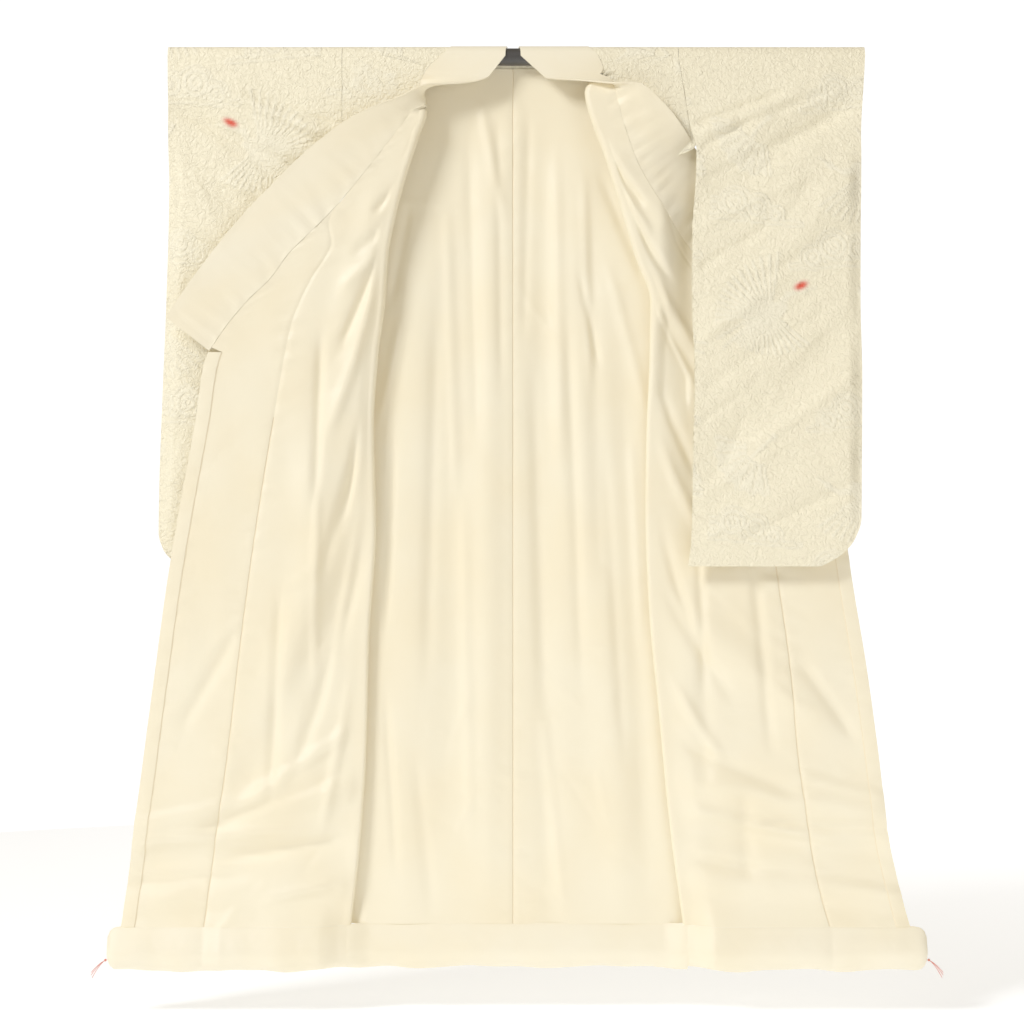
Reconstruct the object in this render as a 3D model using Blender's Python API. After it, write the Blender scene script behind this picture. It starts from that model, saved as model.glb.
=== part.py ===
"""An uchikake wedding kimono hanging open on a plain round rod, its fronts turned out to show the lining.

Right and left are the wearer's, so the right half lies on the -X side, at a viewer's left.
The front faces -Y. The origin is the middle of the rod's axis. The tables are in millimetres:
out is the distance from the middle of the back towards a sleeve, y is the depth (less is nearer a
viewer) and z is the height, measured down from the rod's axis as negative numbers.
"""

import math

import bmesh
import bpy
import numpy as np

MM = 0.001

ROD_RADIUS = 17.0
ROD_LENGTH = 1240.0
GAP = 0.3
OUTER_WALL = 1.6
LINING_WALL = 1.2
COLLAR_WALL = 3.0
COLLAR_BACK_EASE = 4.6
EDGE_WALL = 4.2
WRAP_STEP = 30
WRAP_RADIUS = (ROD_RADIUS + GAP) / math.cos(math.radians(WRAP_STEP / 2))
PANEL_BOTTOM = -1690.0
HEM_BOTTOM = -1772.0
LINING_TOP = -120.0
OKUMI_TOP = -300.0
COLLAR_END = -576.0
EDGE_STRIP = 27.0
SLEEVE_BOTTOM = -992.0
SLEEVE_JOIN = -140.0
CUFF_BOTTOM = -190.0
BACK_EDGE_PULL = 16.0
LIP_DEPTH = 8.0
LEAST_FOLD = 2.6
LEAST_TURN = 2.5
FOLD_OPENS_OVER = 30.0
BORDER_STEP = 8.0
NECK_EASE = 19.8
COLLAR_SEAM_GAP = 1.6

# How many columns of a front's grid lie on its side edge, hidden leg, fold and turned-out leg.
SIDE_TURN = 2
HIDDEN = 2
FOLD_TURN = 4
TURNED = 5

WRAP_ANGLES = range(-90, 91, WRAP_STEP)
BODY_HEIGHTS = (
    -20, -40, -60, -80, -100, -125, -152, -180, -215, -255, -300, -345, -390, -435, -480, -528, -576,
    -640, -730, -840, -950, -1060, -1170, -1280, -1380, -1460, -1525, -1580, -1635, -1690,
)

# Columns of the fronts: the height, the side edge of the front and of the back, the edge where the
# front turns over, the depth behind that edge and in front of it, the depth of the back, and the
# depth far out towards the front edge.
FRONT_COLUMNS = ("z", "side", "back_side", "fold", "hidden_y", "turned_y", "back_y", "far_y")
RIGHT_FRONT = (
    (19, 332, 332, 118, -19, -19, 19, -40),
    (0, 332, 332, 140, -19, -19, 19, -42),
    (-30, 332, 332, 168, -20, -22, 20, -44),
    (-60, 332, 332, 178, -20, -30, 20, -45),
    (-85, 332, 332, 170, -20, -38, 20, -46),
    (-106, 332, 332, 167, -21, -40, 20, -46),
    (-162, 332, 332, 184, -22, -41, 20, -46),
    (-230, 326, 330, 206, -22, -41, 19, -46),
    (-315, 314, 320, 229, -20, -40, 18, -46),
    (-390, 306, 306, 243, -16, -38, 17, -46),
    (-487, 298, 298, 250, -13, -34, 16, -46),
    (-584, 290, 290, 263, -10, -30, 15, -46),
    (-720, 288, 288, 272, -6, -24, 14, -45),
    (-920, 284, 284, 268, -2, -18, 13, -43),
    (-1127, 295, 295, 281, 0, -14, 12, -32),
    (-1351, 301, 301, 287, 0, -13, 12, -26),
    (-1520, 312, 312, 298, 0, -13, 12, -24),
    (-1690, 330, 330, 316, 0, -13, 12, -22),
)
LEFT_FRONT = (
    (19, 321, 321, 155, -19, -19, 19, 10),
    (0, 321, 321, 166, -19, -20, 19, 14),
    (-30, 325.7, 325.7, 180, -20, -24, 20, 12),
    (-58, 330.1, 330.1, 188, -20, -29, 20, 14),
    (-80, 333.6, 333.6, 164, -21, -37, 20, 16),
    (-100, 336.8, 336.8, 146, -21, -40, 20, 16),
    (-140, 343, 343, 157, -22, -41, 20, 16),
    (-180, 300, 328, 172, -22, -41, 20, 16),
    (-222, 278, 322, 186, -22, -41, 19, 16),
    (-295, 276, 308, 209, -20, -40, 18, 12),
    (-390, 283, 283, 238, -14, -36, 17, 6),
    (-480, 285, 285, 268, -8, -26, 16, -2),
    (-585, 282, 282, 267, 0, -14, 15, -2),
    (-735, 276, 276, 261, 1, -12, 14, -4),
    (-883, 274, 274, 259, 1, -12, 13, -7),
    (-1059, 279, 279, 265, 1, -12, 12, -14),
    (-1279, 299, 299, 285, 0, -13, 12, -20),
    (-1496, 320, 320, 306, 0, -13, 12, -20),
    (-1690, 346, 346, 332, 0, -13, 12, -20),
)

# Height against the distance out of the seam between the front panel and the okumi, and of the front edge.
SEAM_COLUMNS = ("z", "okumi_seam", "edge")
RIGHT_SEAMS = (
    (-290, 337, 400),
    (-372, 352, 450),
    (-440, 392, 500),
    (-523, 428, 560),
    (-603, 445, 597),
    (-709, 463, 613),
    (-860, 488, 641),
    (-1042, 515, 672),
    (-1182, 533, 692),
    (-1358, 554, 716),
    (-1548, 581, 741),
    (-1690, 598, 758),
)
LEFT_SEAMS = (
    (-290, 285, 400),
    (-372, 322, 450),
    (-440, 372, 500),
    (-523, 420, 560),
    (-603, 446, 600),
    (-709, 466, 616),
    (-860, 490, 638),
    (-1010, 514, 658),
    (-1185, 538, 686),
    (-1353, 553, 709),
    (-1503, 574, 727),
    (-1600, 590, 746),
    (-1690, 613, 768),
)

# The collar, a row for each section across it: the height and place of its seam, then its free edge.
COLLAR_COLUMNS = ("z", "seam", "free", "free_z", "free_y")
RIGHT_COLLAR = (
    (0, 138, 31, -16, -22),
    (-20, 160, 47, -42, -26),
    (-40, 174, 84, -54, -32),
    (-60, 180, 128, -58, -40),
    (-80, 181, 168, -61, -52),
    (-100, 188, 214, -84, -60),
    (-125, 206, 262, -102, -60),
    (-150, 225, 298, -118, -58),
    (-180, 248, 334, -139, -56),
    (-215, 275, 366, -163, -54),
    (-255, 307, 396, -188, -54),
    (-300, 345, 433, -222, -54),
    (-345, 390, 472, -262, -54),
    (-390, 435, 515, -306, -54),
    (-435, 468, 559, -358, -54),
    (-480, 514, 595, -404, -54),
    (-528, 554, 640, -466, -54),
    (-576, 587, 670, -511, -54),
)
LEFT_COLLAR = (
    (0, 168, 14, -20, -22),
    (-20, 178, 64, -46, -28),
    (-40, 188, 128, -51, -38),
    (-60, 196, 196, -59, -54),
    (-80, 201, 238, -58, -56),
    (-100, 205, 262, -70, -54),
    (-125, 211, 284, -90, -50),
    (-150, 219, 302, -108, -46),
    (-180, 229, 318, -128, -42),
    (-215, 243, 336, -152, -30),
    (-255, 265, 352, -176, -6),
    (-300, 294, 384, -206, 14),
    (-345, 324, 416, -240, 17),
    (-390, 362, 452, -280, 17),
    (-435, 408, 496, -326, 15),
    (-480, 462, 546, -380, 12),
    (-528, 530, 604, -436, 8),
    (-576, 590, 655, -498, 6),
)

# The sleeves: height, inner edge, outer edge, depth of the front wall and of the back wall.
SLEEVE_COLUMNS = ("z", "inner", "outer", "front_y", "back_y")
RIGHT_SLEEVE = (
    (0, 332, 671, -19, 19),
    (-140, 332, 670, -20, 18),
    (-200, 334, 669, -20, 17),
    (-300, 340, 670, -19, 15),
    (-475, 345, 675, -18, 12),
    (-675, 348, 683, -17, 9),
    (-850, 350, 689, -15, 7),
    (-927, 350, 690, -13, 4),
    (-960, 350, 681, -11, 1),
    (-980, 350, 664, -9, -2),
    (-992, 350, 636, -7, -4),
)
LEFT_SLEEVE = (
    (0, 321, 684, -19, 19),
    (-92, 335.5, 679, -20, 18),
    (-140, 343, 676, -22, 14),
    (-180, 355, 675, -28, -1),
    (-230, 354, 675, -36, -14),
    (-334, 347, 673, -44, -24),
    (-477, 346, 672, -50, -28),
    (-620, 351, 675, -52, -29),
    (-800, 347, 674, -54, -32),
    (-900, 346, 673, -53, -36),
    (-940, 344, 660, -50, -39),
    (-970, 341, 634, -47, -41),
    (-992, 338, 596, -46, -43),
)

# The largest folds, as ridges (a depth under 0 stands nearer to a viewer) along lines on the cloth.
# Each row: distance out and height of both ends, the width to one side, and the depth.
FOLD_COLUMNS = ("out_a", "z_a", "out_b", "z_b", "width", "depth")
BACK_FOLDS = (
    (-40, -120, -52, -1600, 26, -6),
    (-110, -300, -125, -1500, 34, 6),
    (-190, -420, -215, -1650, 40, -5),
    (55, -260, 70, -1640, 26, 7),
    (120, -180, 215, -1640, 34, -7),
    (150, -340, 170, -1000, 18, 7),
    (215, -620, 262, -1560, 22, 5),
    (10, -80, 12, -180, 34, -4),
)
RIGHT_FRONT_FOLDS = (
    (255, -260, 350, -560, 26, -6),
    (262, -420, 400, -880, 34, -6),
    (275, -640, 470, -1300, 36, -7),
    (300, -980, 560, -1560, 34, 5),
    (300, -1440, 740, -1500, 22, -6),
    (320, -1555, 730, -1580, 20, 6),
    (310, -1620, 745, -1640, 20, -6),
)
LEFT_FRONT_FOLDS = (
    (190, -200, 300, -330, 20, -5),
    (370, -1180, 372, -1430, 18, 5),
    (450, -1440, 458, -1600, 18, 5),
    (330, -1100, 620, -1330, 34, -6),
    (340, -1430, 720, -1480, 24, -7),
    (350, -1520, 730, -1560, 22, 6),
    (350, -1600, 750, -1640, 22, -7),
)
SLEEVE_FOLDS = (
    (350, -150, 640, -20, 24, -4),
    (360, -300, 660, -90, 22, 5),
    (370, -560, 665, -230, 30, -5),
    (370, -800, 660, -520, 34, 5),
    (400, -930, 660, -770, 30, -4),
)

# The roll of padding at the hem.
HEM_HEIGHT = -HEM_BOTTOM + PANEL_BOTTOM - GAP
HEM_BULGE_FRONT = 24.0
HEM_BULGE_BACK = 5.0
HEM_TOP_WIDTH = 3.4
HEM_SIDES = 10

IVORY = (0.90, 0.84, 0.70, 1.0)
CREAM = (0.93, 0.85, 0.66, 1.0)
PLAIN_WHITE = (0.94, 0.90, 0.80, 1.0)
ROD_BLACK = (0.03, 0.028, 0.03, 1.0)
THREAD_RED = (0.75, 0.22, 0.16, 1.0)


def clear_scene():
    for obj in list(bpy.data.objects):
        bpy.data.objects.remove(obj, do_unlink=True)


def make_material(name, colour, roughness, metallic=0.0):
    material = bpy.data.materials.new(name)
    material.use_nodes = True
    shader = material.node_tree.nodes["Principled BSDF"]
    shader.inputs["Base Color"].default_value = colour
    shader.inputs["Roughness"].default_value = roughness
    shader.inputs["Metallic"].default_value = metallic
    return material


def smooth_step(low, high, value):
    share = np.clip((value - low) / (high - low), 0.0, 1.0)
    return share * share * (3.0 - 2.0 * share)


def read_column(table, columns, name, key):
    """A column of a table at the given key, on a smooth curve that never swings past its rows."""
    rows = np.array(sorted(table), float)
    places = rows[:, 0]
    values = rows[:, columns.index(name)]
    steps = np.diff(places)
    slopes = np.diff(values) / steps
    tangents = np.zeros(len(values))
    same_way = slopes[:-1] * slopes[1:] > 0
    harmonic = 2.0 * slopes[:-1] * slopes[1:] / np.where(same_way, slopes[:-1] + slopes[1:], 1.0)
    tangents[1:-1] = np.where(same_way, harmonic, 0.0)
    tangents[0] = slopes[0]
    tangents[-1] = slopes[-1]
    key = np.clip(np.asarray(key, float), places[0], places[-1])
    index = np.clip(np.searchsorted(places, key) - 1, 0, len(steps) - 1)
    step = steps[index]
    t = (key - places[index]) / step
    return (
        values[index] * (1 + 2 * t) * (1 - t) ** 2
        + values[index + 1] * t * t * (3 - 2 * t)
        + tangents[index] * step * t * (1 - t) ** 2
        - tangents[index + 1] * step * t * t * (1 - t)
    )


def relief(folds, out, z):
    """The depth that the folds of a table add at a point of the cloth."""
    total = np.zeros(np.broadcast(out, z).shape)
    for out_a, z_a, out_b, z_b, width, depth in folds:
        along_out = out_b - out_a
        along_z = z_b - z_a
        length = math.hypot(along_out, along_z)
        share = ((out - out_a) * along_out + (z - z_a) * along_z) / length**2
        across = ((out - out_a) * along_z - (z - z_a) * along_out) / length
        ends = smooth_step(-0.15, 0.15, share) * (1.0 - smooth_step(0.85, 1.15, share))
        total = total + depth * ends * np.exp(-((across / width) ** 2))
    return total


def unit(vectors):
    return vectors / np.maximum(np.linalg.norm(vectors, axis=-1, keepdims=True), 1e-9)


def sheet_normals(points, passes=2):
    """Unit normals of a grid of points, the same on both sides of a line where the sheet is cut.

    Each pass evens them out between neighbours, so that a wall in a tight turn doesn't cut itself.
    """
    normals = unit(np.cross(np.gradient(points, axis=0), np.gradient(points, axis=1)))
    for _ in range(passes):
        wide = np.pad(normals, ((1, 1), (1, 1), (0, 0)), mode="edge")
        around = wide[:-2, 1:-1] + wide[2:, 1:-1] + wide[1:-1, :-2] + wide[1:-1, 2:]
        normals = unit(normals + around / 4.0)
    return normals


def add_wall(name, points, normals, low, high, material, side=1):
    """One closed wall on a grid of points, reaching from low to high along the normals.

    The side is -1 for the right half, whose distances out lie along -X.
    """
    rows, columns = points.shape[:2]
    mesh = bpy.data.meshes.new(name)
    shell = bmesh.new()
    bmesh.ops.create_grid(shell, x_segments=columns - 1, y_segments=rows - 1, size=1.0)
    ordered = sorted(shell.verts, key=lambda vert: (round(vert.co.y, 5), round(vert.co.x, 5)))
    mirror = np.array((side, 1, 1)) * MM
    inner = ((points + normals * low) * mirror).reshape(-1, 3)
    outer = ((points + normals * high) * mirror).reshape(-1, 3)
    for index, vert in enumerate(ordered):
        vert.co = inner[index]
    made = bmesh.ops.extrude_face_region(shell, geom=shell.faces[:], use_keep_orig=True)
    new_verts = {element for element in made["geom"] if isinstance(element, bmesh.types.BMVert)}
    kept = np.array([vert.co[:] for vert in ordered])
    for vert in new_verts:
        index = int(np.argmin(((kept - np.array(vert.co[:])) ** 2).sum(axis=1)))
        vert.co = outer[index]
    bmesh.ops.triangulate(shell, faces=shell.faces[:])
    bmesh.ops.recalc_face_normals(shell, faces=shell.faces[:])
    shell.to_mesh(mesh)
    shell.free()
    mesh.materials.append(material)
    obj = bpy.data.objects.new(name, mesh)
    collection.objects.link(obj)
    mesh.shade_smooth()
    return obj


def trimmed(points, first=0.0, last=0.0, top=0.0, bottom=0.0):
    """The grid with its border columns and rows moved inwards by the given gaps."""
    moved = points.copy()
    for gap, edge, inside in ((first, 0, 1), (last, -1, -2)):
        step = points[:, inside] - points[:, edge]
        moved[:, edge] += gap * step / np.linalg.norm(step, axis=1, keepdims=True)
    for gap, edge, inside in ((top, 0, 1), (bottom, -1, -2)):
        step = points[inside] - points[edge]
        moved[edge] += gap * step / np.linalg.norm(step, axis=1, keepdims=True)
    return moved


def along_line(line, stations):
    """Points at the given lengths along a line of points."""
    steps = np.linalg.norm(np.diff(line, axis=0), axis=1)
    lengths = np.concatenate([[0.0], np.cumsum(steps)])
    return np.stack([np.interp(stations, lengths, line[:, axis]) for axis in range(2)], axis=1)


def turned_depth(table, folds, out, z, fold):
    """Depth of the turned-out cloth: from its own depth at the fold to its depth far out."""
    near = read_column(table, FRONT_COLUMNS, "turned_y", z)
    far = read_column(table, FRONT_COLUMNS, "far_y", z)
    if table is LEFT_FRONT:
        share = smooth_step(np.maximum(fold + 15, 282), np.maximum(fold + 60, 350), out)
        lip = LIP_DEPTH * smooth_step(-470, -500, z) * (1 - smooth_step(-640, -700, z))
        lip_line = np.interp(-z, (477, 624), (270, 342))
        lip = lip * (1 - smooth_step(lip_line - 5, lip_line + 5, out))
    else:
        share = smooth_step(fold + 10, fold + 150, out)
        lip = 0.0
    calm = smooth_step(0, 30, out - fold) * smooth_step(0, 60, -z - 90)
    return near + (far - near) * share + lip + calm * relief(folds, out, z)


def front_slice(table, folds, z, end):
    """The columns of a front at one height, from its side edge round the fold to the given end."""
    value = {name: float(read_column(table, FRONT_COLUMNS, name, z)) for name in FRONT_COLUMNS[1:]}
    fold = min(value["fold"], end)
    radius = max(LEAST_FOLD, (value["hidden_y"] - value["turned_y"]) / 2)
    whole_turn = math.pi * float(smooth_step(0.0, FOLD_OPENS_OVER, end - fold))
    joined = float(smooth_step(320, 490, -z))
    side_radius = max(1.5, (value["back_y"] - value["hidden_y"]) / 2)
    hidden_y = value["hidden_y"]
    line = []
    for step in range(9):
        angle = math.pi * step / 8
        arc = (
            value["side"] + side_radius * math.sin(angle),
            value["back_y"] - side_radius * (1 - math.cos(angle)),
        )
        flat = (value["side"] - 0.6 * step, hidden_y)
        line.append([a * joined + b * (1 - joined) for a, b in zip(arc, flat)])
    side_end = 8
    middle = fold + radius
    for step in range(1, 7):
        share = step / 6
        line.append([line[side_end][0] + (middle - line[side_end][0]) * share, hidden_y])
    fold_start = len(line) - 1
    for step in range(1, 13):
        angle = whole_turn * step / 12
        line.append([middle - radius * math.sin(angle), hidden_y - radius * (1 - math.cos(angle))])
    fold_end = len(line) - 1
    start_y = line[-1][1]
    if end > middle + 0.5 and whole_turn > LEAST_TURN:
        depth_at_start = float(turned_depth(table, folds, middle, z, fold))
        for step in range(1, 25):
            out = middle + (end - middle) * step / 24
            target = float(turned_depth(table, folds, out, z, fold))
            blend = float(smooth_step(0, 25, out - middle))
            line.append([out, target * blend + (start_y + target - depth_at_start) * (1 - blend)])
    line = np.array(line)
    lengths = np.concatenate([[0.0], np.cumsum(np.linalg.norm(np.diff(line, axis=0), axis=1))])
    total = lengths[-1]
    last = min(lengths[fold_end], total - 3.0 * TURNED)
    middle_length = min(lengths[fold_start], last - 3.0 * FOLD_TURN)
    first = min(lengths[side_end], middle_length - 3.0 * HIDDEN)
    stations = np.concatenate([
        np.linspace(0, first, SIDE_TURN + 1)[:-1],
        np.linspace(first, middle_length, HIDDEN + 1)[:-1],
        np.linspace(middle_length, last, FOLD_TURN + 1)[:-1],
        np.linspace(last, total, TURNED + 1),
    ])
    return along_line(line, stations)


def collar_seam(collar, z):
    return float(read_column(collar, COLLAR_COLUMNS, "seam", z))


def seam_at(seams, name, z):
    return float(read_column(seams, SEAM_COLUMNS, name, z))


def front_sheet(table, folds, collar, seams):
    """The whole turned-out sheet below the rod: front columns, then okumi and edge columns.

    Above the okumi's point the outer columns repeat the collar seam a little further out, so that
    the sheet's normals stay the same on both sides of every seam.
    """
    rows = []
    for z in BODY_HEIGHTS:
        if z > OKUMI_TOP:
            end = collar_seam(collar, z)
            outer = end + 24.0
            strip = end + 30.0
        else:
            end = seam_at(seams, "okumi_seam", z)
            if z >= COLLAR_END:
                strip = collar_seam(collar, z)
                outer = strip - COLLAR_SEAM_GAP
            else:
                strip = seam_at(seams, "edge", z)
                outer = strip - EDGE_STRIP
        part = front_slice(table, folds, z, end)
        fold = float(read_column(table, FRONT_COLUMNS, "fold", z))
        if end - fold < FOLD_OPENS_OVER:
            onward = unit(part[-1] - part[-2]) * BORDER_STEP
            line = np.vstack([part, [part[-1] + onward * step for step in (1, 2, 3, 4)]])
            rows.append(np.column_stack([line[:, 0], line[:, 1], np.full(len(line), float(z))]))
            continue
        outs = [end + (outer - end) * share for share in (1 / 3, 2 / 3, 1.0)] + [strip]
        base = float(turned_depth(table, folds, end, z, fold))
        extra = [
            [out, part[-1][1] + float(turned_depth(table, folds, out, z, fold)) - base]
            for out in outs
        ]
        line = np.vstack([part, extra])
        rows.append(np.column_stack([line[:, 0], line[:, 1], np.full(len(line), float(z))]))
    return np.array(rows)


def wrap_rows(table):
    """Rows of the front panel that go over the rod, back to front, and end at the collar's seam."""
    rows = []
    columns = SIDE_TURN + HIDDEN + FOLD_TURN + TURNED + 1
    side = float(read_column(table, FRONT_COLUMNS, "side", 0))
    neck = float(read_column(table, FRONT_COLUMNS, "fold", 0))
    for angle in WRAP_ANGLES:
        turn = math.radians(angle)
        outs = np.linspace(side, neck - NECK_EASE * math.cos(turn), columns)
        y = -WRAP_RADIUS * math.sin(turn)
        z = WRAP_RADIUS * math.cos(turn)
        rows.append(np.column_stack([outs, np.full(columns, y), np.full(columns, z)]))
    return np.array(rows)


def wrap_normals(columns):
    """Outward normals of the rows that go over the rod."""
    turns = np.radians(np.array(WRAP_ANGLES, float))
    radial = np.column_stack([np.zeros(len(turns)), -np.sin(turns), np.cos(turns)])
    return np.repeat(radial[:, None, :], columns, axis=1)


def build_front(word, side, table, folds, collar, seams):
    sheet = front_sheet(table, folds, collar, seams)
    normals = sheet_normals(sheet)
    facing = -1.0
    columns = SIDE_TURN + HIDDEN + FOLD_TURN + TURNED + 1
    panel = np.concatenate([wrap_rows(table), sheet[:, :columns]])
    panel_normals = np.concatenate([wrap_normals(columns) * facing, normals[:, :columns]])
    panel = trimmed(panel, first=0.15, last=1.3, top=0.15, bottom=0.15)
    add_wall(
        f"front_{word}", panel, panel_normals * facing, 0.15, 0.15 + OUTER_WALL, outer_cloth, side
    )
    first = SIDE_TURN + HIDDEN - 1
    low_rows = [index for index, z in enumerate(BODY_HEIGHTS) if z <= LINING_TOP]
    part = trimmed(sheet[low_rows, first:columns], first=0.15, last=1.2, bottom=0.15)
    add_wall(
        f"front_lining_{word}", part, normals[low_rows, first:columns] * facing,
        -0.15 - LINING_WALL, -0.15, lining_cloth, side,
    )
    low_rows = [index for index, z in enumerate(BODY_HEIGHTS) if z <= OKUMI_TOP]
    okumi = slice(columns - 1, columns + 3)
    part = trimmed(sheet[low_rows, okumi], first=0.3, last=0.5, top=0.5, bottom=0.15)
    part_normals = normals[low_rows, okumi] * facing
    add_wall(f"okumi_{word}", part, part_normals, 0.15, 0.15 + OUTER_WALL, outer_cloth, side)
    add_wall(f"okumi_lining_{word}", part, part_normals, -0.15 - LINING_WALL, -0.15, lining_cloth, side)
    low_rows = [index for index, z in enumerate(BODY_HEIGHTS) if z < COLLAR_END]
    strip = slice(columns + 2, columns + 4)
    part = trimmed(sheet[low_rows, strip], first=0.3, top=0.5, bottom=0.15)
    add_wall(
        f"front_edge_{word}", part, normals[low_rows, strip] * facing,
        -EDGE_WALL / 2, EDGE_WALL / 2, lining_cloth, side,
    )
    return sheet


def build_back(word, side, table):
    columns = 7
    rows = []
    for z in (0.0,) + BODY_HEIGHTS:
        edge = float(read_column(table, FRONT_COLUMNS, "back_side", z))
        depth = float(read_column(table, FRONT_COLUMNS, "back_y", z))
        outs = np.linspace(0.0, edge, columns)
        calm = smooth_step(0, 45, edge - outs)
        y = depth + calm * relief(BACK_FOLDS, outs * side, z) * float(smooth_step(70, 240, -z))
        rows.append(np.column_stack([outs, y, np.full(columns, z)]))
    sheet = np.array(rows)
    normals = -sheet_normals(sheet)
    part = trimmed(sheet, first=0.15, last=0.3, top=0.3, bottom=0.15)
    add_wall(f"back_{word}", part, normals, 0.15, 0.15 + OUTER_WALL, outer_cloth, side)
    part = trimmed(sheet[1:], first=0.15, last=0.3, bottom=0.15)
    add_wall(f"back_lining_{word}", part, normals[1:], -0.15 - LINING_WALL, -0.15, lining_cloth, side)


def build_collar(word, side, table, sheet, collar):
    columns = 4
    seam_column = SIDE_TURN + HIDDEN + FOLD_TURN + TURNED
    rows = []
    neck = float(read_column(table, FRONT_COLUMNS, "fold", 0))
    sheet_facing = -sheet_normals(sheet)
    seam_normals = []
    middle = (WRAP_RADIUS + WRAP_RADIUS + COLLAR_WALL) / 2
    for angle in WRAP_ANGLES:
        turn = math.radians(angle)
        inner_neck = neck - NECK_EASE * math.cos(turn)
        free = 12.0 + 3.0 * math.sin(turn)
        radius = middle + COLLAR_BACK_EASE * max(0.0, -math.sin(turn))
        outs = np.linspace(inner_neck, free, columns + 1)
        y = np.full(columns + 1, -radius * math.sin(turn))
        z = np.full(columns + 1, radius * math.cos(turn))
        rows.append(np.column_stack([outs, y, z]))
    for index, z in enumerate(BODY_HEIGHTS):
        if z < COLLAR_END:
            break
        row = {name: float(read_column(collar, COLLAR_COLUMNS, name, z)) for name in COLLAR_COLUMNS[1:]}
        column = seam_column if z >= OKUMI_TOP + 1 else seam_column + 4
        start = sheet[index, column]
        seam_normals.append(sheet_facing[index, column])
        end = np.array((row["free"], row["free_y"], row["free_z"]))
        shares = np.linspace(0, 1, columns + 1)[:, None]
        rows.append(start + (end - start) * shares)
    band = np.array(rows)
    normals = -sheet_normals(band)
    over_rod = len(WRAP_ANGLES)
    normals[:over_rod] = wrap_normals(columns + 1)
    for index, shared in enumerate(seam_normals):
        agree = np.sign(np.dot(shared, normals[over_rod + index, 0])) or 1.0
        normals[over_rod + index, 0] = shared * agree
    band = trimmed(band, first=2.8, bottom=0.3)
    add_wall(f"collar_{word}", band, normals, -COLLAR_WALL / 2, COLLAR_WALL / 2, collar_cloth, side)


def build_sleeve(word, side, table, body):
    columns = 7
    heights = (0, -40, -80, -125, -140, -190, -240, -320, -430, -550, -680, -810, -910, -955, -980, SLEEVE_BOTTOM)
    walls = {"front": [], "back": []}
    for wall, sign in (("front", -1), ("back", 1)):
        for angle in (0, 30, 60):
            turn = math.radians(angle)
            outs = np.linspace(body[0][1], table[0][2], columns)
            y = sign * WRAP_RADIUS * math.sin(turn)
            z = WRAP_RADIUS * math.cos(turn)
            walls[wall].append(np.column_stack([outs, np.full(columns, y), np.full(columns, z)]))
        for z in heights:
            row = {name: float(read_column(table, SLEEVE_COLUMNS, name, z)) for name in SLEEVE_COLUMNS[1:]}
            pulled = BACK_EDGE_PULL * smooth_step(145, 170, -z) * (1 - smooth_step(260, 330, -z))
            if z >= SLEEVE_JOIN:
                row["inner"] = float(read_column(body, FRONT_COLUMNS, "side", z))
            inner = row["inner"] + (float(pulled) if wall == "back" and word == "left" else 0.0)
            outs = np.linspace(inner, row["outer"], columns)
            own = row["front_y"] if wall == "front" else row["back_y"]
            middle = (row["front_y"] + row["back_y"]) / 2
            sewn = float(smooth_step(-CUFF_BOTTOM - 20, -CUFF_BOTTOM + 60, -z))
            closing = sewn * smooth_step(row["outer"] - 50, row["outer"], outs)
            y = own + (middle + sign * 1.2 - own) * closing
            calm = float(smooth_step(0, 80, -z)) * float(smooth_step(0, 70, z - SLEEVE_BOTTOM))
            y = y + calm * (1 - closing) * relief(SLEEVE_FOLDS, outs, z)
            walls[wall].append(np.column_stack([outs, y, np.full(columns, float(z))]))
    for wall, sign in (("front", 1), ("back", -1)):
        sheet = np.array(walls[wall])
        normals = sheet_normals(sheet) * sign
        sheet = trimmed(sheet, first=0.6, top=0.2)
        add_wall(f"sleeve_{word}_{wall}", sheet, normals, 0.0, OUTER_WALL, outer_cloth, side)


def add_rod():
    bpy.ops.mesh.primitive_cylinder_add(vertices=28, radius=ROD_RADIUS * MM, depth=ROD_LENGTH * MM)
    rod = bpy.context.object
    rod.name = "hanger_rod"
    rod.rotation_euler = (0.0, math.pi / 2, 0.0)
    for owner in rod.users_collection:
        owner.objects.unlink(rod)
    collection.objects.link(rod)
    rod.data.materials.append(rod_finish)


def build_back_collar():
    rows = []
    outs = np.linspace(-118, 155, 9)
    radius = WRAP_RADIUS + COLLAR_WALL / 2 + COLLAR_BACK_EASE
    for z, depth in ((-0.6, radius), (-20, 25.5), (-42, 27.0), (-64, 28.0), (-86, 28.5)):
        lift = 10.0 * ((outs - 18) / 136) ** 4 * (-z / 86)
        rows.append(np.column_stack([outs, np.full(9, depth), z + lift]))
    sheet = np.array(rows)
    add_wall("collar_back", sheet, sheet_normals(sheet), -COLLAR_WALL / 2, COLLAR_WALL / 2, collar_cloth)


def hem_section(front, back, height):
    """Outline of the roll, as depth and drop from its flat top: wide at the middle, round below."""
    half = HEM_TOP_WIDTH / 2
    return (
        (-half, 0.0),
        (-half - front * 0.55, -height * 0.14),
        (-half - front * 0.95, -height * 0.36),
        (-half - front, -height * 0.58),
        (-half - front * 0.82, -height * 0.82),
        (-half - front * 0.35, -height),
        (half, -height),
        (half + back * 0.8, -height * 0.75),
        (half + back, -height * 0.45),
        (half, 0.0),
    )


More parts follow.
